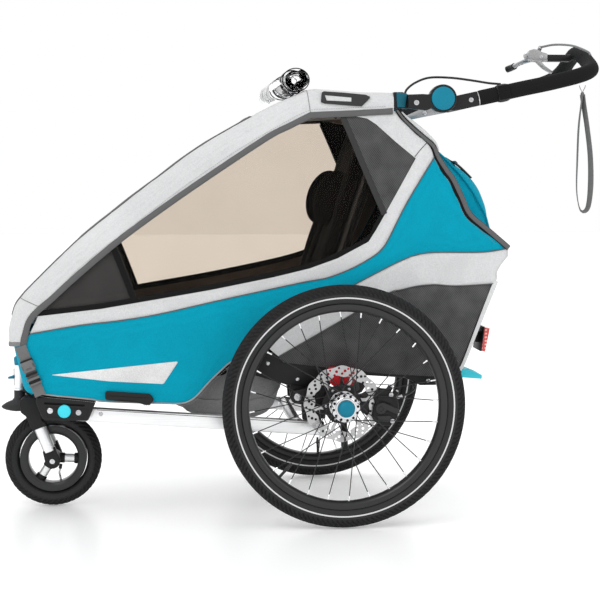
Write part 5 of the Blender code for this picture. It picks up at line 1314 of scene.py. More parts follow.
for side, s in SIDES:
    body = f"{side}_side_panel"
    grey = cloth(f"{side}_light_grey_band", BAND_LOW + [(0.196, 0.780), (0.177, 0.797), (0.153, 0.817), (0.133, 0.836), (0.118, 0.853), (0.024, 0.849)] + DARK_UP[:1] + DARK_UP[1:] + BAND_UP[::-1], s, SIDE_Y, GREY, BROWN, slot="grey_fabric", cell=0.010, flat_edge=0.004)
    teal = cloth(f"{side}_teal_side", BAND_LOW[:-1] + [(0.200, 0.763), (0.205, 0.759), (0.222, 0.733), (0.237, 0.713), (0.255, 0.677), (0.273, 0.640), (0.305, 0.612), (0.336, 0.586), (0.356, 0.569)] + LUG_UP[::-1][1:] + HEM[::-1] + [(-0.6395, 0.300), (-0.6460, 0.330), (-0.6540, 0.372)], s, SIDE_Y, TEAL, LINING, slot="teal_fabric", extra=puff)
    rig.replaces(teal, body)
    lug = cloth(f"{side}_luggage_band", LUG_UP + [(0.3555, 0.552), (0.3440, 0.538), (0.3330, 0.522), (0.3320, 0.503)] + LUG_LOW[::-1], s, SIDE_Y, GREY, LINING, slot="grey_fabric", cell=0.010, flat_edge=0.005)
    mesh = cloth(f"{side}_luggage_mesh", LUG_LOW + [(0.3230, 0.494), (0.2890, 0.4110), (0.2570, 0.3260), (0.2430, 0.2980), (0.1900, 0.2990), (0.1000, 0.3050), (-0.0200, 0.3195), (-0.1190, 0.3320)], s, SIDE_Y - 0.0006, CARBON, LINING, slot="dark_mesh", extra=lambda x, z, d: 0.004 * min(1.0, d / 0.05) - 0.010 * max(0.0, 0.36 - z) / 0.06 * 0.3)
    edge = band(f"{side}_luggage_rear_edge", [(0.3300, 0.500), (0.2960, 0.4130), (0.2640, 0.3300), (0.2500, 0.3060)], lambda q: 0.0095 - 0.003 * q, s, SIDE_Y, GREY, height=0.0010, slot="grey_fabric")
    dark = cloth(f"{side}_rear_dark_panel", [(0.0000, 0.8440)] + DARK_UP + [(0.092, 0.6300)], s, SIDE_Y - 0.0012, CARBON, LINING, slot="dark_mesh")
    band(f"{side}_dark_panel_binding", [(0.0060, 0.8400), (0.0290, 0.7880), (0.0560, 0.7240), (0.0935, 0.6400)], 0.0125, s, SIDE_Y - 0.0010, WEBX, height=0.0012, per=2)
    # border tape round the window
    band(f"{side}_window_lower_border", [(x, z + 0.0055) for x, z in BAND_UP[:-1]], 0.0120, s, SIDE_Y - 0.0024, TAPE, height=0.0010)
    band(f"{side}_window_divider", [(-0.4690, 0.5760), (-0.4580, 0.5490), (-0.4400, 0.5030), (-0.4240, 0.4600)], 0.0130, s, SIDE_Y - 0.0014, TAPE, height=0.0012, per=2)
    # clear pane and the screen in front of it
    inner = [(-0.464, 0.582), (-0.363, 0.657), (-0.268, 0.720), (-0.150, 0.800), (-0.107, 0.823), (-0.062, 0.843), (0.006, 0.846), (0.0935, 0.6350), (0.076, 0.605), (0.060, 0.580), (-0.004, 0.547), (-0.063, 0.526), (-0.139, 0.508), (-0.266, 0.483), (-0.373, 0.465), (-0.425, 0.458)]
    pane = cloth(f"{side}_clear_pane", inner, s, SIDE_Y - 0.0044, PANE, PANE, thick=0.0006, cell=0.03, pinch=0.0, slot="clear_sheet")
    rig.replaces(pane, f"{side}_side_window")
    screen = cloth(f"{side}_front_screen", [(-0.634, 0.432), (-0.600, 0.4560), (-0.548, 0.5060), (-0.464, 0.580), (-0.4240, 0.4570), (-0.494, 0.4450)], s, SIDE_Y - 0.0046, SCREEN, SCREEN, thick=0.0005, cell=0.006, pinch=0.0, slot="dark_mesh", extra=lambda x, z, d: 0.0022 * noise.noise(Vector((x * 95.0, 1.0, z * 9.0))) * min(1.0, d / 0.02))
    # seams
    band(f"{side}_grey_teal_piping", BAND_LOW, 0.0022, s, SIDE_Y + 0.0004, PIPING, height=0.0008)
    band(f"{side}_luggage_piping", LUG_UP, 0.0020, s, SIDE_Y + 0.0004, PIPING, height=0.0007)
    band(f"{side}_mesh_piping", LUG_LOW, 0.0018, s, SIDE_Y + 0.0003, PIPING, height=0.0006)
    band(f"{side}_hem_binding", HEM, 0.0032, s, SIDE_Y + 0.0002, STITCH, height=0.0009)
    band(f"{side}_grey_corner_seam", [(0.1560, 0.7590), (0.1680, 0.7740), (0.1830, 0.7900)], 0.0016, s, SIDE_Y + 0.0002, PIPING, height=0.0004, per=2)
    stitches(f"{side}_band_stitches", BAND_LOW, s, SIDE_Y + 0.0003, STITCH_W, off=0.0040)
    stitches(f"{side}_band_upper_stitches", BAND_UP[:-1], s, SIDE_Y + 0.0003, STITCH_W, off=-0.0032)
    stitches(f"{side}_luggage_stitches", LUG_LOW, s, SIDE_Y + 0.0003, STITCH_W, off=0.0034)
    stitches(f"{side}_hem_stitches", HEM, s, SIDE_Y + 0.0022, STITCH, off=0.0050 * -1)
    stitches(f"{side}_teal_zip_stitches", [(0.200, 0.757), (0.217, 0.729), (0.232, 0.709), (0.250, 0.673), (0.267, 0.637), (0.300, 0.607), (0.331, 0.581)], s, SIDE_Y + 0.0014, STITCH, off=-0.0040)
    frame_names = ["lower_frame", "upper_frame"]
    for o in (grey, teal, lug, mesh, dark, pane, screen):
        declare(o, "stretched", frame_names)
    # pale wing patch
    wing = prism(f"{side}_wing_patch", [(-0.595, 0.3120), (-0.593, 0.3130), (-0.340, 0.3375), (-0.337, 0.3360), (-0.366, 0.2925), (-0.369, 0.2910), (-0.476, 0.2975)], s * (SIDE_Y + 0.0020), s * (SIDE_Y + 0.0044), STITCH_W, "chassis", 0.0006, 2, "grey_fabric")
    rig.squash(wing, "frame_fold", axis=(0, 0, 1), anchor=(0, 0, 0.27), keep=0.325)
    # side strap and buckle at the front corner
    strap = [(-0.6580, 0.3720), (-0.6500, 0.3500), (-0.6400, 0.3240), (-0.6290, 0.2960), (-0.6190, 0.2700)]
    web = band(f"{side}_corner_strap", strap, 0.0225, s, SIDE_Y + 0.0042, WEB, height=0.0009, round_=False, per=3, slot="webbing")
    declare(web, "stretched", [f"{side}_teal_side"])
    down, across = (0.37, -0.929), (0.929, 0.37)

    def at(xc, zc, u, v):
        return (xc + across[0] * u + down[0] * v, zc + across[1] * u + down[1] * v)

    for i, (xc, zc, shape, deep, mat) in enumerate((
        (-0.6455, 0.3400, [(-0.0130, -0.0050), (0.0130, -0.0050), (0.0130, 0.0010), (-0.0130, 0.0010)], 0.0052, BLACK),
        (-0.6420, 0.3290, [(-0.0120, -0.0130), (0.0120, -0.0130), (0.0138, -0.0090), (0.0138, 0.0040), (0.0110, 0.0090), (-0.0110, 0.0090), (-0.0138, 0.0040), (-0.0138, -0.0090)], 0.0086, BUCKLE),
        (-0.6345, 0.3110, [(-0.0128, -0.0065), (0.0128, -0.0065), (0.0128, -0.0020), (-0.0128, -0.0020)], 0.0056, BLACK),
        (-0.6330, 0.3060, [(-0.0142, -0.0020), (0.0142, -0.0020), (0.0142, 0.0030), (-0.0142, 0.0030)], 0.0070, BUCKLE),
        (-0.6300, 0.3000, [(-0.0125, -0.0020), (0.0125, -0.0020), (0.0125, 0.0025), (-0.0125, 0.0025)], 0.0048, BLACK),
        (-0.6285, 0.2955, [(-0.0140, -0.0018), (0.0140, -0.0018), (0.0140, 0.0022), (-0.0140, 0.0022)], 0.0064, BUCKLE),
    )):
        part = prism(f"{side}_buckle_part_{i + 1}", [at(xc, zc, u, v) for u, v in shape], s * (SIDE_Y + 0.0044), s * (SIDE_Y + 0.0044 + deep), mat)
        if i == 1:
            for u in (-0.0145, 0.0105):
                cut(part, prism("cutter", [at(xc, zc, u, -0.0060), at(xc, zc, u + 0.0040, -0.0060), at(xc, zc, u + 0.0040, 0.0030), at(xc, zc, u, 0.0030)], s * (SIDE_Y + 0.0066), s * (SIDE_Y + 0.03), BUCKLE))
            cut(part, prism("cutter", [at(xc, zc, -0.0055, 0.0010), at(xc, zc, 0.0055, 0.0010), at(xc, zc, 0.0055, 0.0055), at(xc, zc, -0.0055, 0.0055)], s * (SIDE_Y + 0.0108), s * (SIDE_Y + 0.03), BUCKLE))
        bevel(part, 0.0010, 2)
        apply_mods(part)
        part.data.shade_smooth()
        part.data.set_sharp_from_angle(angle=radians(35))
        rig.ride(part, "chassis")
        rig.slot(part, "black_plastic")
        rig.squash(part, "frame_fold", axis=(0, 0, 1), anchor=(0, 0, 0.27), keep=0.325)

# drawbar holder (left side only)
holder = prism("drawbar_holder_moulding", [(-0.4870, 0.2745), (-0.4840, 0.2780), (-0.3960, 0.2712), (-0.3925, 0.2680), (-0.3870, 0.2600), (-0.3885, 0.2570), (-0.3950, 0.2480), (-0.4050, 0.2480), (-0.4200, 0.2530), (-0.4845, 0.2597), (-0.4870, 0.2625)], -0.2055, -0.2143, BLACK, None, 0.0024, 3)
cut(holder, prism("cutter", [(-0.4800, 0.2700), (-0.4000, 0.2640), (-0.4010, 0.2625), (-0.4800, 0.2680)], -0.2130, -0.22, BLACK))
cut(holder, prism("cutter", [(-0.4600, 0.2610), (-0.4240, 0.2580), (-0.4240, 0.2560), (-0.4600, 0.2590)], -0.2130, -0.22, BLACK))
holder.data.shade_smooth()
holder.data.set_sharp_from_angle(angle=radians(35))
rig.ride(holder, "chassis")
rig.slot(holder, "black_plastic")
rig.replaces(holder, "drawbar_holder")

# =============================================================== roof cover
PAIRS = [((-0.6820, 0.376), (-0.6510, 0.3765)), ((-0.6830, 0.395), (-0.6480, 0.3860)), ((-0.6830, 0.407), (-0.6450, 0.3960)), ((-0.6790, 0.425), (-0.6380, 0.4190)), ((-0.6690, 0.454), (-0.6235, 0.4400)), ((-0.6520, 0.476), (-0.6080, 0.4530)), ((-0.6240, 0.505), (-0.5840, 0.4720)), ((-0.5880, 0.540), (-0.5520, 0.5040)), ((-0.5370, 0.589), (-0.5020, 0.5490)), ((-0.4480, 0.660), (-0.4200, 0.6120)), ((-0.3660, 0.722), (-0.3400, 0.6730)), ((-0.2910, 0.777), (-0.2650, 0.7260)), ((-0.2170, 0.821), (-0.1920, 0.7740)), ((-0.1340, 0.866), (-0.1120, 0.8200)), ((-0.0900, 0.886), (-0.0760, 0.8390)), ((-0.0620, 0.8975), (-0.0560, 0.8460)), ((-0.0290, 0.8975), (-0.0250, 0.8475)), ((0.0410, 0.893), (0.0410, 0.8510)), ((0.1110, 0.8915), (0.1115, 0.8535))]
T_LINE = along(catmull([Vector((x, 0, z)) for (x, z), _ in PAIRS], 8), 200)
P_LINE = along(catmull([Vector((x, 0, z)) for _, (x, z) in PAIRS], 8), 200)
# matched stations: spread evenly by index through the pair list
TT = catmull([Vector((x, 0, z)) for (x, z), _ in PAIRS], 8)
PP = catmull([Vector((x, 0, z)) for _, (x, z) in PAIRS], 8)
HALF = 0.2046
SECTION = [(1.000, -0.03), (1.002, 0.10), (1.006, 0.25), (1.007, 0.42), (1.003, 0.60), (0.996, 0.75), (0.984, 0.87), (0.964, 0.95), (0.936, 0.99), (0.900, 1.004), (0.840, 1.012), (0.745, 1.018), (0.735, 1.019), (0.640, 1.024), (0.500, 1.030), (0.340, 1.035), (0.170, 1.038), (0.0, 1.040)]
SECTION = SECTION + [(-y, h) for y, h in SECTION[-2::-1]]


def roof_point(i, k, out=0.0):
    t, p = TT[i], PP[i]
    y, h = SECTION[k]
    q = p.lerp(t, h)
    wrinkle = 0.0016 * noise.noise(Vector((q.x * 16, y * 3, q.z * 16))) * (1 - abs(y) ** 8) + 0.0008 * noise.noise(Vector((q.x * 50, y * 9, q.z * 50)))
    up = (t - p).normalized()
    if abs(y) > 0.98:
        side = Vector((0, -1 if y > 0 else 1, 0))
        return Vector((q.x, -HALF * y, q.z)) + side * (wrinkle * 0.8 + out)
    return Vector((q.x, -HALF * y, q.z)) + up * (wrinkle + out)


N, K = len(TT), len(SECTION)
MESH_FROM, MESH_TO = (-0.668, 0.430), (-0.180, 0.840)
verts, faces, mats = [], [], []
for i in range(N):
    for k in range(K):
        verts.append(W(roof_point(i, k, -0.0015 if abs(SECTION[k][0]) < 0.735 and 26 < i < 100 else 0.0)))
for i in range(N - 1):
    for k in range(K - 1):
        faces.append((i * K + k, i * K + k + 1, (i + 1) * K + k + 1, (i + 1) * K + k))
        centre = abs((SECTION[k][0] + SECTION[k + 1][0]) / 2)
        mats.append(2 if centre < 0.738 and 27 <= i < 99 else 0)
me = bpy.data.meshes.new("roof_and_front_cover")
me.from_pydata([tuple(v) for v in verts], [], faces)
me.polygons.foreach_set("material_index", mats)
roof = bpy.data.objects.new("roof_and_front_cover", me)
scene.collection.objects.link(roof)
for m in (GREY, LINING, FINE):
    me.materials.append(m)
m = roof.modifiers.new("thickness", "SOLIDIFY")
m.thickness, m.offset = 0.0014, -1.0
bm = bmesh.new()
bm.from_mesh(me)
if sum((f.normal * f.calc_area() for f in bm.faces), Vector()).z < 0:
    bmesh.ops.reverse_faces(bm, faces=bm.faces)
bm.to_mesh(me)
bm.free()
apply_mods(roof)
roof.data.shade_smooth()
roof.data.set_sharp_from_angle(angle=radians(50))
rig.ride(roof, "upper_frame")
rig.slot(roof, "grey_fabric")
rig.replaces(roof, "front_cover")
declare(roof, "stretched", ["upper_frame"], (length_of([roof_point(100, k) for k in range(K)]), length_of(TT)))


def ribbon(name, pts, normals, width, height, mat, ride, slot=None, squashed=False, per=1):
    """A rounded strip through points with given outward normals."""
    prof = [(-0.5, -0.5), (-0.5, 0.2), (-0.34, 0.8), (-0.12, 1.0), (0.12, 1.0), (0.34, 0.8), (0.5, 0.2), (0.5, -0.5)]
    bm = bmesh.new()
    n = len(pts)
    loops = []
    for i in range(n):
        t = (pts[min(i + 1, n - 1)] - pts[max(i - 1, 0)]).normalized()
        nn = (normals[i] - t * normals[i].dot(t)).normalized()
        b = t.cross(nn)
        wv = width(i / (n - 1)) if callable(width) else width
        loops.append([bm.verts.new(W(pts[i] + b * (u * wv) + nn * (h * height))) for u, h in prof])
    for a, b in zip(loops, loops[1:]):
        for j in range(len(prof)):
            m = (j + 1) % len(prof)
            bm.faces.new((a[j], a[m], b[m], b[j]))
    bm.faces.new(loops[0][::-1])
    bm.faces.new(loops[-1])
    o = obj_bm(name, bm, mat, 50, ride, slot)
    if squashed:
        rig.squash(o, "frame_fold", axis=(0, 0, 1), anchor=(0, 0, 0.27), keep=0.325)
    return o


for side, s in SIDES:
    k_edge = 0 if s < 0 else K - 1
    ribbon(f"{side}_roof_piping", [Vector((x, s * (HALF + 0.0008 + 0.0007 * sin(i * 0.9)), z)) for i, (x, _, z) in enumerate(along(catmull([Vector((x, 0, z)) for x, z in P_MID], 6), 150))], [Vector((0, s, 0))] * 150, lambda q: 0.0128, 0.0024, PIPING, "upper_frame", "grey_fabric")
    stitches(f"{side}_roof_edge_stitches", [(p.x, p.z) for p in PP[4::6]], s, HALF + 0.0012, STITCH, pitch=0.005, ride="upper_frame", squashed=False, off=0.0095, y_of=lambda x, z: HALF + 0.0021)
    # screen border on the top
    kk = 12 if s < 0 else K - 13
    idx = list(range(27, 100, 2))
    pts = [roof_point(i, kk, 0.0006) for i in idx]
    ribbon(f"{side}_screen_border", pts, [(TT[i] - PP[i]).normalized() for i in idx], 0.011, 0.0022, PIPING, "upper_frame", "grey_fabric")
    # cross seams of the side band
    for j, i in enumerate((38, 118)):
        pts = [roof_point(i, k, 0.0002) for k in (range(1, 10) if s < 0 else range(K - 2, K - 11, -1))]
        nrm = [Vector((0, s, 0)) if q < 6 else ((TT[i] - PP[i]).normalized() + Vector((0, s, 0)) * (0.5 if q < 8 else 0)) for q in range(len(pts))]
        ribbon(f"{side}_roof_seam_{j + 1}", pts, nrm, 0.0014, 0.0006, POUCH, "upper_frame")
for j, i in enumerate((27, 99)):
    pts = [roof_point(i, k, 0.0006) for k in range(12, K - 12)]
    ribbon(f"screen_cross_border_{j + 1}", pts, [(TT[i] - PP[i]).normalized()] * len(pts), 0.013, 0.0024, PIPING, "upper_frame", "grey_fabric")
pts = [roof_point(118, k, 0.0002) for k in range(9, K - 9)]
ribbon("roof_cross_seam", pts, [(TT[118] - PP[118]).normalized()] * len(pts), 0.0014, 0.0006, POUCH, "upper_frame")
# front edge of the cover: bound hem
pts = [roof_point(0, k, 0.0004) for k in range(2, K - 2)]
ribbon("front_cover_hem", pts, [Vector((0, -1, 0))] * 6 + [Vector((-1, 0, 0))] * (len(pts) - 12) + [Vector((0, 1, 0))] * 6, 0.009, 0.0012, POUCH, "upper_frame", "grey_fabric")

# side grips sewn to the roof band: dark strap ends with a pale inset
for side, s in SIDES:
    loop = [(-0.0390, 0.8905), (-0.0350, 0.8930), (0.0060, 0.8905), (0.0520, 0.8865), (0.0620, 0.8820), (0.0560, 0.8740), (0.0440, 0.8625), (0.0160, 0.8640), (-0.0330, 0.8680), (-0.0405, 0.8710)]
    g = prism(f"{side}_grip_strap", loop, s * (HALF + 0.0006), s * (HALF + 0.0050), WEBX)
    cut(g, prism("cutter", [(-0.0330, 0.8855), (-0.0290, 0.8735), (0.0230, 0.8715), (0.0230, 0.8810)], s * (HALF + 0.0032), s * (HALF + 0.03), WEBX))
    bevel(g, 0.0012, 2)
    apply_mods(g)
    g.data.shade_smooth()
    g.data.set_sharp_from_angle(angle=radians(35))
    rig.ride(g, "upper_frame")
    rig.slot(g, "webbing")
    prism(f"{side}_grip_inset", [(-0.0325, 0.8850), (-0.0288, 0.8740), (0.0226, 0.8719), (0.0226, 0.8806)], s * (HALF + 0.0026), s * (HALF + 0.0040), GREY, "upper_frame", 0.0004, 1)

# rolled rain cover: clear film wound into a roll, with strap and loose outer turn
bm = bmesh.new()
turns, per_turn = 4.2, 36
rings = []
n = int(turns * per_turn)
NY = 42
for j in range(NY):
    y = -0.186 + 0.372 * j / (NY - 1)
    ring = []
    for i in range(n + 1):
        th = 2 * pi * i / per_turn
        r = 0.0075 + 0.0170 * i / n + 0.0012 * noise.noise(Vector((cos(th) * 1.8, sin(th) * 1.8, y * 22 + i * 0.02))) + 0.0006 * sin(3 * th + y * 60)
        r *= 1.0 - 0.10 * (1 if abs(abs(y) - 0.10) < 0.012 else 0)
        ring.append(bm.verts.new(W((-0.0895 + r * 1.10 * cos(th), y, 0.9175 + r * 0.92 * sin(th)))))
    rings.append(ring)
for a, b in zip(rings, rings[1:]):
    for i in range(n):
        bm.faces.new((a[i], a[i + 1], b[i + 1], b[i]))
roll = obj_bm("rolled_rain_cover_film", bm, RAIN, 60, "upper_frame", "clear_sheet")
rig.replaces(roll, "rolled_rain_cover")
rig.sheet(roll, (0.372, length_of([v for v in [Vector((-0.0895 + (0.0075 + 0.0170 * i / n) * 1.10 * cos(2 * pi * i / per_turn), 0, 0.9175 + (0.0075 + 0.0170 * i / n) * 0.92 * sin(2 * pi * i / per_turn))) for i in range(n + 1)]])), "folded", rests_on=["roof_and_front_cover"])
bm = bmesh.new()
rings = []
for j in range(NY):
    y = -0.150 + 0.300 * j / (NY - 1)
    ring = []
    for i in range(26):
        q = i / 25
        th = radians(40 + 250 * q)
        r = 0.0165 + 0.0020 * noise.noise(Vector((q * 5, 2.0, y * 26)))
        ring.append(bm.verts.new(W((-0.1290 + r * 0.9 * cos(th), y, 0.8990 + r * 1.1 * sin(th)))))
    rings.append(ring)
for a, b in zip(rings, rings[1:]):
    for i in range(25):
        bm.faces.new((a[i], a[i + 1], b[i + 1], b[i]))
loose = obj_bm("rain_cover_loose_turn", bm, RAIN, 60, "upper_frame", "clear_sheet")
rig.sheet(loose, (0.300, 0.0726), "folded", rests_on=["roof_and_front_cover"])
for s in (-1, 1):
    for j, y0 in enumerate((0.178,)):
        v, f = tube_mesh([W((-0.0895 + 0.0262 * 1.06 * cos(a), s * y0, 0.9175 + 0.0262 * 0.92 * sin(a))) for a in [2 * pi * q / 40 for q in range(41)]], 0.0011, 8, False)
        obj_from(f"rain_cover_edge_{'left' if s < 0 else 'right'}", v, f, TAPE, 60, "upper_frame")
    pts = [Vector((-0.0895 + 0.0262 * cos(a), s * 0.100, 0.9175 + 0.0245 * sin(a))) for a in [2 * pi * q / 30 for q in range(31)]]
    ribbon(f"rain_cover_strap_{'left' if s < 0 else 'right'}", pts, [(p - Vector((-0.0895, s * 0.100, 0.9175))).normalized() for p in pts], 0.020, 0.0014, WEBX, "upper_frame", "webbing")

# =============================================================== rear cover and pocket
def sheet_loft(name, rows, mat, inner, ride, thick=0.0014, slot=None, squashed=False, mats=None, subd=0):
    bm = bmesh.new()
    loops = [[bm.verts.new(W(p)) for p in row] for row in rows]
    for i, (a, b) in enumerate(zip(loops, loops[1:])):
        for k in range(len(a) - 1):
            f = bm.faces.new((a[k], a[k + 1], b[k + 1], b[k]))
            if mats:
                f.material_index = mats(i, k)
    bm.normal_update()
    o = obj_bm(name, bm, (list(mat) if isinstance(mat, (list, tuple)) else [mat]) + [inner], 50, None, slot, recalc=False)
    m = o.modifiers.new("thickness", "SOLIDIFY")
    m.thickness, m.offset = thick, -1.0
    if subd:
        m = o.modifiers.new("subd", "SUBSURF")
        m.levels = m.render_levels = subd
    apply_mods(o)
    o.data.shade_smooth()
    o.data.set_sharp_from_angle(angle=radians(50))
    if ride:
        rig.ride(o, ride)
    if squashed:
        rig.squash(o, "frame_fold", axis=(0, 0, 1), anchor=(0, 0, 0.27), keep=0.325)
    return o


YS = [0.2040 * v for v in (-1.0, -0.985, -0.955, -0.90, -0.82, -0.7, -0.56, -0.40, -0.2, 0, 0.2, 0.40, 0.56, 0.7, 0.82, 0.90, 0.955, 0.985, 1.0)]


def corner(y):
    """How far a point across the body stands out from the edge line."""
    return 1 - (abs(y) / 0.2040) ** 10


ZL = along(catmull([Vector((x, 0, z)) for x, z in ZIP], 6), 44)
rows = []
for i, p in enumerate(ZL):
    t = (ZL[min(i + 1, 43)] - ZL[max(i - 1, 0)]).normalized()
    out = Vector((-t.z, 0, t.x))
    if out.x < 0:
        out = -out
    rows.append([Vector((p.x, y, p.z)) + out * (0.007 * corner(y) - 0.004 + 0.0016 * noise.noise(Vector((p.x * 12, y * 12, p.z * 12))) * corner(y)) for y in YS])
upper_rear = sheet_loft("rear_cover_cloth", rows, TEAL, LINING, "chassis", slot="teal_fabric", squashed=True)
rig.replaces(upper_rear, "rear_cover")
declare(upper_rear, "stretched", ["upper_frame"])
LR = [(0.356, 0.569), (0.3555, 0.552), (0.344, 0.538), (0.334, 0.520), (0.330, 0.497), (0.309, 0.444), (0.288, 0.391), (0.267, 0.338), (0.252, 0.306)]
LL = along([Vector((x, 0, z)) for x, z in LR], 36)
rows = []
for i, p in enumerate(LL):
    rows.append([Vector((p.x - 0.003 + 0.0045 * corner(y) + 0.0015 * noise.noise(Vector((3.1, y * 14, p.z * 14))) * corner(y), y, p.z)) for y in YS])
lower_rear = sheet_loft("rear_lower_cloth", rows, [GREY, CARBON], LINING, "chassis", slot="dark_mesh", squashed=True, mats=lambda i, k: 0 if i < 9 or k < 1 or k > 16 else 1)
declare(lower_rear, "stretched", ["lower_frame"])
for s, side in ((-1, "left"), (1, "right")):
    ribbon(f"{side}_rear_zip_piping", [Vector((p.x, s * 0.2052, p.z)) for p in ZL], [Vector((0.25, s, 0.25))] * len(ZL), lambda q: 0.0046 + 0.0052 * min(1.0, q * 2.2), 0.0026, PIPING, "chassis", "grey_fabric", squashed=True)
    # black fold of the zip garage on the panel side, and the pale flap above the corner
    inset = []
    for i, p in enumerate(ZL):
        t = (ZL[min(i + 1, 43)] - ZL[max(i - 1, 0)]).normalized()
        q = i / 43
        deep = 0.0030 + 0.0034 * min(1.0, max(0.0, (q - 0.22) * 5)) * (1.0 if q < 0.74 else max(0.2, 1 - (q - 0.74) * 4)) + 0.0006 * sin(i * 1.1)
        inset.append(Vector((p.x + t.z * deep, s * 0.2050, p.z - t.x * deep)))
    ribbon(f"{side}_zip_garage", inset, [Vector((0, s, 0))] * len(inset), lambda q: 0.0030 + 0.0050 * min(1.0, max(0.0, (q - 0.22) * 5)) * (1.0 if q < 0.74 else max(0.2, 1 - (q - 0.74) * 4)), 0.0016, TAPE, "chassis", "black_lining", squashed=True)
    flap = [Vector((p.x + 0.0052 + 0.0030 * sin(pi * i / 13), s * 0.2010, p.z + 0.0038 + 0.0028 * sin(pi * i / 13))) for i, p in enumerate(ZL[1:15])]
    ribbon(f"{side}_zip_flap", flap, [Vector((0.2, s, 0.2))] * len(flap), lambda q: 0.0026 + 0.0060 * sin(pi * q) * (1 - 0.4 * q), 0.0014, GREY, "chassis", "grey_fabric", squashed=True)
    ribbon(f"{side}_rear_zip_tape", [Vector((p.x + 0.0040, s * 0.1985, p.z + 0.0026)) for p in ZL], [Vector((0.7, 0.4 * s, 0.5))] * len(ZL), 0.0100, 0.0012, TAPE, "chassis", "black_lining", squashed=True)
    stitches(f"{side}_rear_zip_teeth", [(p.x + 0.0045, p.z + 0.0030) for p in ZL], s, 0.197, WEBX, pitch=0.0034, r=0.0009, y_of=lambda x, z: 0.1965)

# pocket on the back, bulging, with a bound flap, strap and pull tabs
PK = [(0.1980, 0.7700), (0.2130, 0.7730), (0.2300, 0.7640), (0.2520, 0.7480), (0.2690, 0.7360), (0.2870, 0.7210), (0.3010, 0.7070), (0.3140, 0.6900), (0.3230, 0.6710), (0.3300, 0.6520), (0.3320, 0.6350), (0.3310, 0.6160), (0.3300, 0.5980), (0.3300, 0.5880)]
PL = along(catmull([Vector((x, 0, z)) for x, z in PK], 6), 34)
BASE = along(catmull([Vector((x, 0, z)) for x, z in [(0.2080, 0.7700), (0.2370, 0.7130), (0.2730, 0.6400), (0.3100, 0.6080), (0.3350, 0.5870)]], 6), 34)
PY = [0.122 * v for v in (-1.0, -1.0, -0.99, -0.96, -0.90, -0.80, -0.66, -0.5, -0.33, -0.16, 0, 0.16, 0.33, 0.5, 0.66, 0.80, 0.90, 0.96, 0.99, 1.0, 1.0)]
rows = []
for i in range(34):
    row = []
    for k, y in enumerate(PY):
        u = abs(y) / 0.122
        h = 0.0 if k in (0, len(PY) - 1) else (1 - u ** 5.5) ** 0.42 if u < 1 else 0.06
        p = BASE[i].lerp(PL[i], max(0.0, min(1.0, h)))
        w = 0.0022 * noise.noise(Vector((p.x * 20, y * 18, p.z * 20))) * h
        row.append(Vector((p.x + w + 0.004, y, p.z + w + 0.003)))
    rows.append(row)
pocket = sheet_loft("rear_pocket", rows, TEAL, LINING, "chassis", slot="teal_fabric", squashed=True)
declare(pocket, "gathered", ["rear_cover_cloth"])
for s, side in ((-1, "left"), (1, "right")):
    pts = [BASE[i].lerp(PL[i], 0.62) + Vector((0.005, s * 0.1195, 0.004)) for i in range(1, 33)]
    ribbon(f"{side}_pocket_piping", pts, [Vector((0.3, s, 0.3))] * len(pts), 0.004, 0.0022, TEAL, "chassis", "teal_fabric", squashed=True)
    pts = along(catmull([Vector((x, s * 0.075, z)) for x, z in [(0.2440, 0.7580), (0.2560, 0.7510), (0.2700, 0.7440), (0.2860, 0.7300), (0.3010, 0.7150)]], 6), 22)
    ribbon(f"{side}_pocket_strap", pts, [Vector((0.5, 0, 1))] * len(pts), 0.020, 0.0024, WEBX, "chassis", "webbing", squashed=True)
pts = [Vector((0.2600, y, 0.7480)) for y in [(-0.118 + 0.236 * q / 24) for q in range(25)]]
ribbon("pocket_flap_edge", pts, [Vector((0.7, 0, 0.7))] * 25, 0.010, 0.0022, PIPING, "chassis", "grey_fabric", squashed=True)

# =============================================================== inside: apron, floor, tub, lining
rows = []
AP = [(-0.6770, 0.3820), (-0.6720, 0.3560), (-0.6665, 0.3300), (-0.6605, 0.3020), (-0.6555, 0.2820), (-0.6500, 0.2740), (-0.6400, 0.2715), (-0.6150, 0.2712), (-0.590, 0.2712), (-0.560, 0.2710), (-0.520, 0.2700), (-0.480, 0.2660), (-0.420, 0.2635), (-0.365, 0.2615), (-0.345, 0.2630)]
AL = along(catmull([Vector((x, 0, z)) for x, z in AP], 5), 60)
for i, p in enumerate(AL):
    k = max(0.0, min(1.0, (-0.640 - p.x) / 0.010))
    rows.append([Vector((p.x + k * (0.0230 * max(0.0, (abs(y) / 0.2030 - 0.84) / 0.16) ** 2 + 0.0095 * max(0.0, 1 - (y / 0.060) ** 2) * max(0.0, min(1.0, (0.350 - p.z) / 0.02))), y, p.z)) for y in [0.2030 * v / 0.2040 for v in YS]])
apron = sheet_loft("footwell_cloth", rows, [TEAL, LINING], LINING, None, slot="teal_fabric", mats=lambda i, k: 0 if AL[i].x < -0.640 else 1)
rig.replaces(apron, "footwell_panel")
declare(apron, "hung", ["lower_frame"], (0.408, length_of(AL)))
# its top edge is sewn to the roof's front hem, its foot to the floor
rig.blend(apron, "chassis", "upper_frame", W((-0.6560, 0.0, 0.2860)), W((-0.6760, 0.0, 0.3760)))
rows = []
FL = [(-0.0200, 0.3280), (0.040, 0.3200), (0.100, 0.3150), (0.170, 0.3105), (0.235, 0.3075)]
FLL = along([Vector((x, 0, z)) for x, z in FL], 20)
for p in FLL:
    rows.append([Vector((p.x, y * 0.985, p.z - 0.0025 * corner(y) + 0.0012 * noise.noise(Vector((p.x * 14, y * 14, 0))))) for y in YS])
lug_floor = sheet_loft("luggage_floor_cloth", rows, CARBON, LINING, "chassis", slot="dark_mesh")
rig.replaces(lug_floor, "luggage_floor")
declare(lug_floor, "stretched", ["lower_frame"])

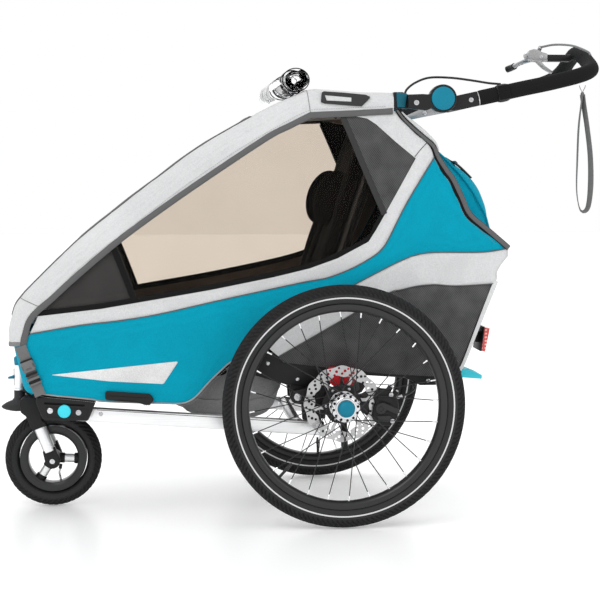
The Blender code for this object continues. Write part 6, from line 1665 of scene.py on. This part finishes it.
# hanging seat tub: a sagging cloth trough under the seat
TB = [(-0.3860, 0.2640), (-0.3740, 0.2530), (-0.3570, 0.2410), (-0.3400, 0.2320), (-0.3180, 0.2230), (-0.2980, 0.2120), (-0.2700, 0.2055), (-0.2350, 0.2030), (-0.2000, 0.2035), (-0.1700, 0.2070), (-0.1480, 0.2160), (-0.1340, 0.2330), (-0.1260, 0.2550), (-0.1210, 0.2780), (-0.1190, 0.2865)]
TBL = along(catmull([Vector((x, 0, z)) for x, z in TB], 6), 60)
rows = []
for i, p in enumerate(TBL):
    row = []
    for q in range(25):
        v = -1 + 2 * q / 24
        a = abs(v)
        lift = 0.045 * max(0.0, a - 0.80) / 0.20 * max(0.0, (0.275 - p.z) / 0.07)
        fold = 0.0030 * noise.noise(Vector((p.x * 34, v * 2.2, p.z * 14))) + 0.0016 * noise.noise(Vector((p.x * 90, v * 3.0, 1.0)))
        row.append(Vector((p.x, 0.1585 * (v if a < 0.8 else (0.8 + (a - 0.8) * 1.0) * (1 if v > 0 else -1)), p.z + lift + fold)))
    rows.append(row)
tub = sheet_loft("seat_tub_cloth", rows, POUCH, LINING, "chassis", slot="heather")
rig.replaces(tub, "seat_tub")
declare(tub, "hung", ["lower_frame"], (0.330, length_of(TBL)))
# tub side cheeks
for side, s in SIDES:
    cheek = cloth(f"{side}_tub_cheek", [(-0.3600, 0.2860), (-0.3540, 0.2600), (-0.3330, 0.2400), (-0.3180, 0.2260), (-0.2980, 0.2170), (-0.2700, 0.2120), (-0.2350, 0.2100), (-0.2000, 0.2105), (-0.1720, 0.2140), (-0.1500, 0.2220), (-0.1360, 0.2370), (-0.1280, 0.2560), (-0.1200, 0.2860), (-0.1180, 0.3200), (-0.2200, 0.3220), (-0.2700, 0.3000)], s, 0.1560, POUCH, LINING, pinch=0.004, flat_edge=0.02, slot="heather", extra=lambda x, z, d: 0.003 * noise.noise(Vector((x * 40, 2, z * 12))), squashed=False)
    declare(cheek, "hung", ["lower_frame"])


# =============================================================== padding
def pad(name, box, mat, ride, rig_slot, rounding=0.016, pressure=4.0, seams=(), frame_m=None, voxel=0.0055, tufts=()):
    """A stuffed pad: a rounded block, inflated as cloth with its seams held."""
    (x0, y0, z0), (x1, y1, z1) = box
    bm = bmesh.new()
    bmesh.ops.create_cube(bm, size=1)
    for v in bm.verts:
        v.co = Vector(((x0 + x1) / 2 + v.co.x * (x1 - x0), (y0 + y1) / 2 + v.co.y * (y1 - y0), (z0 + z1) / 2 + v.co.z * (z1 - z0)))
    bmesh.ops.bevel(bm, geom=bm.edges[:], offset=rounding, segments=4, affect="EDGES", profile=0.5)
    if frame_m:
        bm.transform(frame_m)
    else:
        bm.transform(Matrix.Translation((DX, 0, 0)))
    o = obj_bm(name, bm, mat, 0)
    m = o.modifiers.new("remesh", "REMESH")
    m.mode, m.voxel_size = "VOXEL", voxel
    apply_mods(o)
    inv = frame_m.inverted() if frame_m else Matrix.Translation((-DX, 0, 0))
    pin = o.vertex_groups.new(name="pin")
    for v in o.data.vertices:
        p = inv @ v.co
        weight = 0.0
        for axis, at, width in seams:
            if abs(p[axis] - at) < width:
                weight = 1.0
        for c, r in tufts:
            if (p - Vector(c)).length < r:
                weight = 1.0
        if weight:
            pin.add([v.index], weight, "REPLACE")
    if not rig.quick():
        rest = [v.co.copy() for v in o.data.vertices]
        c = o.modifiers.new("cloth", "CLOTH")
        c.settings.quality = 6
        c.settings.mass = 0.3
        c.settings.tension_stiffness = c.settings.compression_stiffness = 14
        c.settings.shear_stiffness = 8
        c.settings.bending_stiffness = 0.6
        c.settings.use_pressure = True
        c.settings.uniform_pressure_force = pressure
        c.settings.vertex_group_mass = "pin"
        c.settings.effector_weights.gravity = 0
        c.point_cache.frame_start, c.point_cache.frame_end = 1, 20
        for f in range(1, 21):
            scene.frame_set(f)
        apply_mods(o)
        scene.frame_set(1)
        for v, r in zip(o.data.vertices, rest):
            d = v.co - r
            if d.length > 0.009:
                v.co = r + d.normalized() * 0.009
    bm = bmesh.new()
    bm.from_mesh(o.data)
    bm.normal_update()
    for v in bm.verts:
        p = v.co
        v.co = p + v.normal * (0.0010 * noise.noise(p * 45.0) + 0.0005 * noise.noise(p * 130.0))
    bm.to_mesh(o.data)
    bm.free()
    m = o.modifiers.new("soft", "SUBSURF")
    m.levels = m.render_levels = 1
    apply_mods(o)
    o.data.shade_smooth()
    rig.ride(o, ride)
    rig.slot(o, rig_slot)
    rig.padded(o, 0.7)
    return o


seat = pad("seat_pad", ((-0.3380, -0.1535, 0.2885), (-0.1020, 0.1535, 0.3220)), PAD, "chassis", "black_lining", 0.013, 3.0, seams=((1, -0.060, 0.003), (1, 0.060, 0.003), (0, -0.185, 0.003)))
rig.replaces(seat, "seat_cushion")

BT, KN = Vector((0.100, 0, 0.838)), Vector((-0.045, 0, 0.400))
bd = (KN - BT).normalized()
bn = Vector((bd.z, 0, -bd.x))
if bn.x > 0:
    bn = -bn
# local frame of the seat back: x down the back, y across, z forwards
M = Matrix(((bd.x, 0, bn.x, BT.x + DX), (0, 1, 0, 0), (bd.z, 0, bn.z, BT.z), (0, 0, 0, 1)))
back = pad("seat_back_pad", ((0.024, -0.1465, 0.0115), (0.438, 0.1465, 0.0345)), PAD, "seat_back", "black_lining", 0.011, 3.0, seams=((0, 0.235, 0.0035), (1, -0.062, 0.003), (1, 0.062, 0.003), (0, 0.335, 0.003)), frame_m=M)
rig.replaces(back, "back_cushion")
# head support: a ring-shaped wrap with side wings
bm = bmesh.new()
n = 34
rows = []
for j in range(n):
    v = -1 + 2 * j / (n - 1)
    y = 0.1045 * v
    edge_ = (1 - abs(v) ** 7) ** 0.4
    wing = 1 / (1 + ((0.80 - abs(v)) / 0.17) ** 4) if abs(v) < 0.80 else 1.0
    ring = []
    for i in range(28):
        a = 2 * pi * i / 28
        rx = (0.050 + 0.017 * wing) * max(edge_, 0.62)
        rz = (0.0130 + 0.0290 * wing) * max(edge_, 0.50)
        ring.append(bm.verts.new(M @ Vector((0.1900 + rx * cos(a), y, 0.0280 + 0.0130 * wing + 0.004 + rz * sin(a)))))
    rows.append(ring)
for a, b in zip(rows, rows[1:]):
    for i in range(28):
        bm.faces.new((a[i], a[(i + 1) % 28], b[(i + 1) % 28], b[i]))
bm.faces.new(rows[0][::-1])
bm.faces.new(rows[-1])
head = obj_bm("head_support", bm, PAD, 60)
m = head.modifiers.new("soft", "SUBSURF")
m.levels = m.render_levels = 1
apply_mods(head)
head.data.shade_smooth()
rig.ride(head, "seat_back")
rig.slot(head, "black_lining")
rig.padded(head, 0.8)
# cloth partition behind the seat back
rows = []
for t in [0.012 + 0.440 * q / 30 for q in range(31)]:
    rows.append([M @ Vector((t, y, -0.0125 - 0.004 * sin(t * 14) + 0.002 * noise.noise(Vector((t * 14, y * 14, 2))))) - Vector((DX, 0, 0)) for y in [-0.183 + 0.366 * q / 18 for q in range(19)]])
part_cloth = sheet_loft("luggage_partition_cloth", rows, LINING, LINING, "seat_back", slot="black_lining")
declare(part_cloth, "stretched", ["seat_back_frame"], (0.366, 0.440))
# harness
for s, side in ((-1, "left"), (1, "right")):
    pts = [M @ Vector(q) - Vector((DX, 0, 0)) for q in catmull([Vector(p) for p in ((0.205, s * 0.050, 0.0440), (0.230, s * 0.052, 0.0455), (0.290, s * 0.050, 0.0470), (0.350, s * 0.040, 0.0460), (0.400, s * 0.022, 0.0470), (0.425, s * 0.012, 0.0500))], 6)]
    strap = ribbon(f"{side}_shoulder_strap", pts, [bn] * len(pts), 0.034, 0.0070, PAD, "seat_back", "webbing")
    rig.padded(strap, 0.6)
    pts = [Vector(q) for q in catmull([Vector(p) for p in ((-0.130, s * 0.145, 0.3260), (-0.155, s * 0.110, 0.3310), (-0.180, s * 0.060, 0.3330), (-0.190, s * 0.018, 0.3345))], 5)]
    strap = ribbon(f"{side}_lap_strap", pts, [Vector((0, 0, 1))] * len(pts), 0.024, 0.0016, WEBX, "chassis", "webbing")
    declare(strap, "laid", ["seat_pad"])
bk = prism("harness_buckle", [(-0.205, 0.3320), (-0.205, 0.3420), (-0.200, 0.3450), (-0.178, 0.3450), (-0.173, 0.3420), (-0.173, 0.3320)], -0.020, 0.020, BLACK, "chassis", 0.003, 3, "black_plastic")

# =============================================================== frames that stay, with better finish
take("upper_frame", ALU)
take("seat_back_frame", SATIN)
take("fold_bail", BLACK, 0.0008, 2)

# =============================================================== brake lever, cables, lanyard
perch = [prism("clamp", [(0.5300, 0.9700), (0.5330, 0.9740), (0.5330, 0.9810), (0.5300, 0.9850), (0.4760, 0.9850), (0.4700, 0.9830), (0.4700, 0.9720), (0.4760, 0.9700)], -0.034, -0.012, BLACK, None, 0.0018, 2)]
perch.append(prism("body", [(0.4350, 0.9740), (0.4300, 0.9810), (0.4300, 0.9870), (0.4360, 0.9935), (0.4460, 0.9965), (0.4560, 0.9950), (0.4640, 0.9900), (0.4776, 0.9860), (0.4776, 0.9700), (0.4640, 0.9690), (0.4480, 0.9700)], -0.040, -0.006, CAST, None, 0.0026, 3))
perch.append(prism("arm", [(0.4450, 0.9760), (0.4530, 0.9790), (0.4720, 0.9600), (0.4890, 0.9480), (0.4860, 0.9420), (0.4660, 0.9530), (0.4480, 0.9700)], -0.0390, -0.0330, CAST, None, 0.0012, 2))
perch.append(rod("barrel", (0.4620, -0.0180, 0.9935), (0.4640, -0.0260, 1.0020), 0.0046, STEEL, sides=20))
perch = merge("brake_lever_clamp", perch, 35, "handlebar", "black_plastic")
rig.replaces(perch, "brake_lever_perch")
screw_head("lever_pivot_screw", (0.4620, -0.0400, 0.9790), (0, -1, 0), 0.0044, STEEL, "handlebar", depth=0.0014)
bm = bmesh.new()
stations = [(0.4630, -0.0030, 0.9800, 0.0062, 0.0068), (0.4600, 0.0020, 0.9795, 0.0070, 0.0068), (0.4530, 0.0070, 0.9780, 0.0074, 0.0064), (0.4470, 0.0130, 0.9760, 0.0072, 0.0058), (0.4410, 0.0240, 0.9738, 0.0066, 0.0052), (0.4370, 0.0350, 0.9720, 0.0060, 0.0050), (0.4335, 0.0480, 0.9705, 0.0056, 0.0048), (0.4322, 0.0600, 0.9690, 0.0054, 0.0048), (0.4310, 0.0720, 0.9675, 0.0058, 0.0056), (0.4292, 0.0820, 0.9660, 0.0060, 0.0058), (0.4266, 0.0900, 0.9643, 0.0064, 0.0062), (0.4230, 0.0960, 0.9627, 0.0066, 0.0064), (0.4206, 0.0990, 0.9615, 0.0048, 0.0046)]
loops = [[bm.verts.new(W((x + hw * cos(2 * pi * k / 20), y, z + hh * sin(2 * pi * k / 20)))) for k in range(20)] for x, y, z, hw, hh in stations]
for a, b in zip(loops, loops[1:]):
    for k in range(20):
        bm.faces.new((a[k], a[(k + 1) % 20], b[(k + 1) % 20], b[k]))
bm.faces.new(loops[0])
bm.faces.new(loops[-1])
lever = obj_bm("brake_lever_blade", bm, CAST, 50)
for y in (0.030, 0.044):
    x = 0.4375 if y < 0.04 else 0.434
    cut(lever, rod("cutter", (x, y, 0.950), (x, y, 0.990), 0.0026, CAST, sides=16, chamfer=0))
lever.data.shade_smooth()
lever.data.set_sharp_from_angle(angle=radians(45))
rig.ride(lever, "brake_lever")
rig.slot(lever, "silver_tube")
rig.replaces(lever, "brake_lever")
tube("lever_tip_sleeve", [(0.4304, 0.0765, 0.9668), (0.4286, 0.0850, 0.9654), (0.4258, 0.0915, 0.9639), (0.4222, 0.0970, 0.9624), (0.4190, 0.1010, 0.9610)], 0.0074, BLACK, "brake_lever", 4, 18, "black_plastic")


def cable(name, pts, r, mat, ride, per=6, sides=12, slot="black_plastic"):
    route = along([W(p) for p in catmull(pts, per)], max(12, int(length_of(pts) / 0.006)))
    v, f = tube_mesh(route, r, sides)
    return obj_from(name, v, f, mat, 50, ride, slot), route


a0 = ap(0.1345, 0.0150)
RUN = [(0.1188, 0.236, 0.262), (0.132, 0.236, 0.2650), (0.146, 0.230, 0.2700), (0.155, 0.218, 0.2745), (0.158, 0.200, 0.2760), (0.160, 0.184, 0.2765), (0.165, 0.170, 0.2820), (0.1695, 0.145, 0.2880), (0.1705, 0.100, 0.2895)]
for side, s in SIDES:
    half_run = [(x, s * y, z) for x, y, z in RUN] + [(0.1705, s * 0.0500, 0.2896), (0.1705, s * 0.0110, 0.2896)]
    cc, r1 = cable(f"{side}_caliper_brake_cable", half_run, 0.0024, CABLE, None)
    if s < 0:
        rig.replaces(cc, "caliper_cable")
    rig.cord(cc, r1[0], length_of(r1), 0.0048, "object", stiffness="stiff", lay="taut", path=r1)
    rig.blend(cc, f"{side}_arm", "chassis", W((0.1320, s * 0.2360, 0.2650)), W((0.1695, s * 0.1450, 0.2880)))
prism("cable_splitter", [(0.1620, 0.2860), (0.1620, 0.2935), (0.1640, 0.2955), (0.1770, 0.2955), (0.1790, 0.2935), (0.1790, 0.2860), (0.1770, 0.2840), (0.1640, 0.2840)], -0.0140, 0.0140, BLACK, "chassis", 0.0012, 2, "black_plastic")
lc, r2 = cable("lever_brake_cable", [(0.463, -0.023, 1.0012), (0.468, -0.026, 1.0020), (0.490, -0.050, 1.0050), (0.520, -0.085, 1.0000), (0.545, -0.115, 0.9850), (0.549, -0.122, 0.9775)], 0.0024, CABLEG, "handlebar")
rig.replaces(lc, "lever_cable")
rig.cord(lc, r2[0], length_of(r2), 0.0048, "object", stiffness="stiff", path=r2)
fc, r3 = cable("frame_brake_cable", [(a0[0], -0.1860, a0[1] + 0.0040), (0.315, -0.184, 0.9130), (0.280, -0.181, 0.9185), (0.235, -0.178, 0.9240), (0.190, -0.176, 0.9240), (0.160, -0.177, 0.9130), (0.143, -0.180, 0.9000), (0.1385, -0.182, 0.8915)], 0.0024, CABLE, None)
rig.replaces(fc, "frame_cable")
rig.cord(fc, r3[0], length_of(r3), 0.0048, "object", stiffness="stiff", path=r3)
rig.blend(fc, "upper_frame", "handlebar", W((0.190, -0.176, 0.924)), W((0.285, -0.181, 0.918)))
# cable stops and ties
for side, s in SIDES:
    rod(f"{side}_cable_end_ferrule", (0.1160, s * 0.2365, 0.2605), (0.1270, s * 0.2360, 0.2640), 0.0036, STEEL, f"{side}_arm", 16, slot="steel")

LX, LY = 0.515, -0.1850
LAN = [(LX - 0.0008, LY - 0.0016, 0.8900), (0.5125, LY - 0.0018, 0.870), (0.5075, LY - 0.002, 0.820), (0.505, LY - 0.004, 0.750), (0.504, LY - 0.006, 0.690), (0.510, LY - 0.008, 0.652), (0.519, LY - 0.009, 0.6440), (0.529, LY - 0.008, 0.656), (0.534, LY - 0.006, 0.700), (0.533, LY - 0.004, 0.760), (0.526, LY - 0.002, 0.820), (0.5185, LY + 0.0010, 0.870), (LX + 0.0008, LY + 0.0016, 0.8900)]
lroute = along([W(p) for p in catmull(LAN, 6)], 110)
bm = bmesh.new()
loops = []
fr = frames(lroute)
for i, p in enumerate(lroute):
    t = fr[i][0]
    q = i / (len(lroute) - 1)
    turn = radians(80 - 24 * max(0.0, min(1.0, (q - 0.46) / 0.16)) + 6 * sin(q * 9))
    plane = t.cross(Vector((0, 1, 0))).normalized()
    across = plane * cos(turn) + Vector((0, 1, 0)) * sin(turn)
    across = (across - t * across.dot(t)).normalized()
    nn = t.cross(across)
    loops.append([bm.verts.new(p + across * (u * 0.0068) + nn * (h * 0.0011)) for u, h in ((-1, -0.7), (-1, 0.7), (-0.8, 1), (0.8, 1), (1, 0.7), (1, -0.7), (0.8, -1), (-0.8, -1))])
for a, b in zip(loops, loops[1:]):
    for k in range(8):
        bm.faces.new((a[k], a[(k + 1) % 8], b[(k + 1) % 8], b[k]))
bm.faces.new(loops[0][::-1])
bm.faces.new(loops[-1])
lan = obj_bm("wrist_lanyard_webbing", bm, WEB, 50, "handlebar", "webbing")
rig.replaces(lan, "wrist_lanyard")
flat = length_of(lroute)
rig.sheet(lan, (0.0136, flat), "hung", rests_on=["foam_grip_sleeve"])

# rubber keeper on the lanyard, velcro strap on the grip
keep = prism("lanyard_keeper", [(0.5120, 0.8870), (0.5120, 0.8925), (0.5138, 0.8955), (0.5166, 0.8955), (0.5184, 0.8925), (0.5184, 0.8870)], -0.1890, -0.1810, WEB, "handlebar", 0.0010, 2, "webbing")
loop_pts = [(LX - 0.0066, LY, 0.9090), (LX - 0.0050, LY, 0.9040), (LX - 0.0018, LY, 0.8980), (LX, LY, 0.8940), (LX + 0.0018, LY, 0.8980), (LX + 0.0050, LY, 0.9040), (LX + 0.0066, LY, 0.9095)]
lcord, r4 = cable("lanyard_cord_loop", loop_pts, 0.0008, STITCH, "handlebar", 6, 8, "webbing")
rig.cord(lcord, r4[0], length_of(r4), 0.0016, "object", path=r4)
c = ap(0.1345, 0.0)
for j, t in enumerate((0.1345,)):
    pts, nn = [], []
    for q in range(33):
        a = 2 * pi * q / 32
        p = ap(t, 0.0166 * sin(a))
        pts.append(Vector((p[0], -0.1885 + 0.0166 * cos(a), p[1])))
        nn.append(Vector((-sin(SL) * sin(a), cos(a), cos(SL) * sin(a))))
    ribbon("grip_cable_strap", pts, nn, 0.0240, 0.0022, WEBX, "handlebar", "webbing")
    p = [ap(t - 0.012, 0.016), ap(t + 0.012, 0.016), ap(t + 0.012, -0.014), ap(t - 0.012, -0.014)]
    prism("grip_strap_tab", p, -0.2052, -0.2082, TAPE, "handlebar", 0.001, 2, "webbing")

# =============================================================== reflector and pedal
lens = prism("rear_reflector_lens", [(0.3540, 0.3830), (0.3530, 0.3840), (0.3430, 0.3852), (0.3418, 0.3842), (0.3352, 0.3352), (0.3362, 0.3340), (0.3430, 0.3314), (0.3442, 0.3322)], -0.0400, 0.0400, LENS, None, 0.0012, 2)
base = prism("base", [(0.3040, 0.3880), (0.2980, 0.3530), (0.3400, 0.3500), (0.3450, 0.3700)], -0.016, 0.016, BLACK, None, 0.002, 2)
frame_ = prism("frame", [(0.3430, 0.3870), (0.3400, 0.3865), (0.3330, 0.3330), (0.3355, 0.3325), (0.3420, 0.3840)], -0.0415, 0.0415, BLACK, None, 0.0006, 2)
lens = merge("rear_reflector_unit", [lens, base, frame_], 35, "chassis", "red_lens")
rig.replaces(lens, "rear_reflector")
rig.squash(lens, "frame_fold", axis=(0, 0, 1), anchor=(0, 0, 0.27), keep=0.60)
pedal = prism("pedal_plate", [(0.2900, 0.2900), (0.2915, 0.2932), (0.3035, 0.2935), (0.3080, 0.2918), (0.3360, 0.2805), (0.3370, 0.2790), (0.3370, 0.2725), (0.3350, 0.2715), (0.2915, 0.2752), (0.2900, 0.2770)], -0.0420, 0.0420, TEALB, None, 0.0020, 3)
for j in range(5):
    x = 0.3085 + 0.0050 * j
    z = 0.2915 - (x - 0.3085) * 0.40
    cut(pedal, prism("cutter", [(x, z + 0.006), (x + 0.0018, z + 0.006), (x + 0.0018, z - 0.0014), (x, z - 0.0014)], -0.036, 0.036, TEALP))
arm_ = prism("arm", [(0.2085, 0.2815), (0.2085, 0.2905), (0.2105, 0.2925), (0.2260, 0.2935), (0.3000, 0.2900), (0.3000, 0.2775), (0.2260, 0.2775), (0.2105, 0.2790)], -0.012, 0.012, BLACK, None, 0.0014, 2)
pedal = merge("parking_pedal_unit", [pedal, arm_], 35, "parking_pedal", "teal_plastic")
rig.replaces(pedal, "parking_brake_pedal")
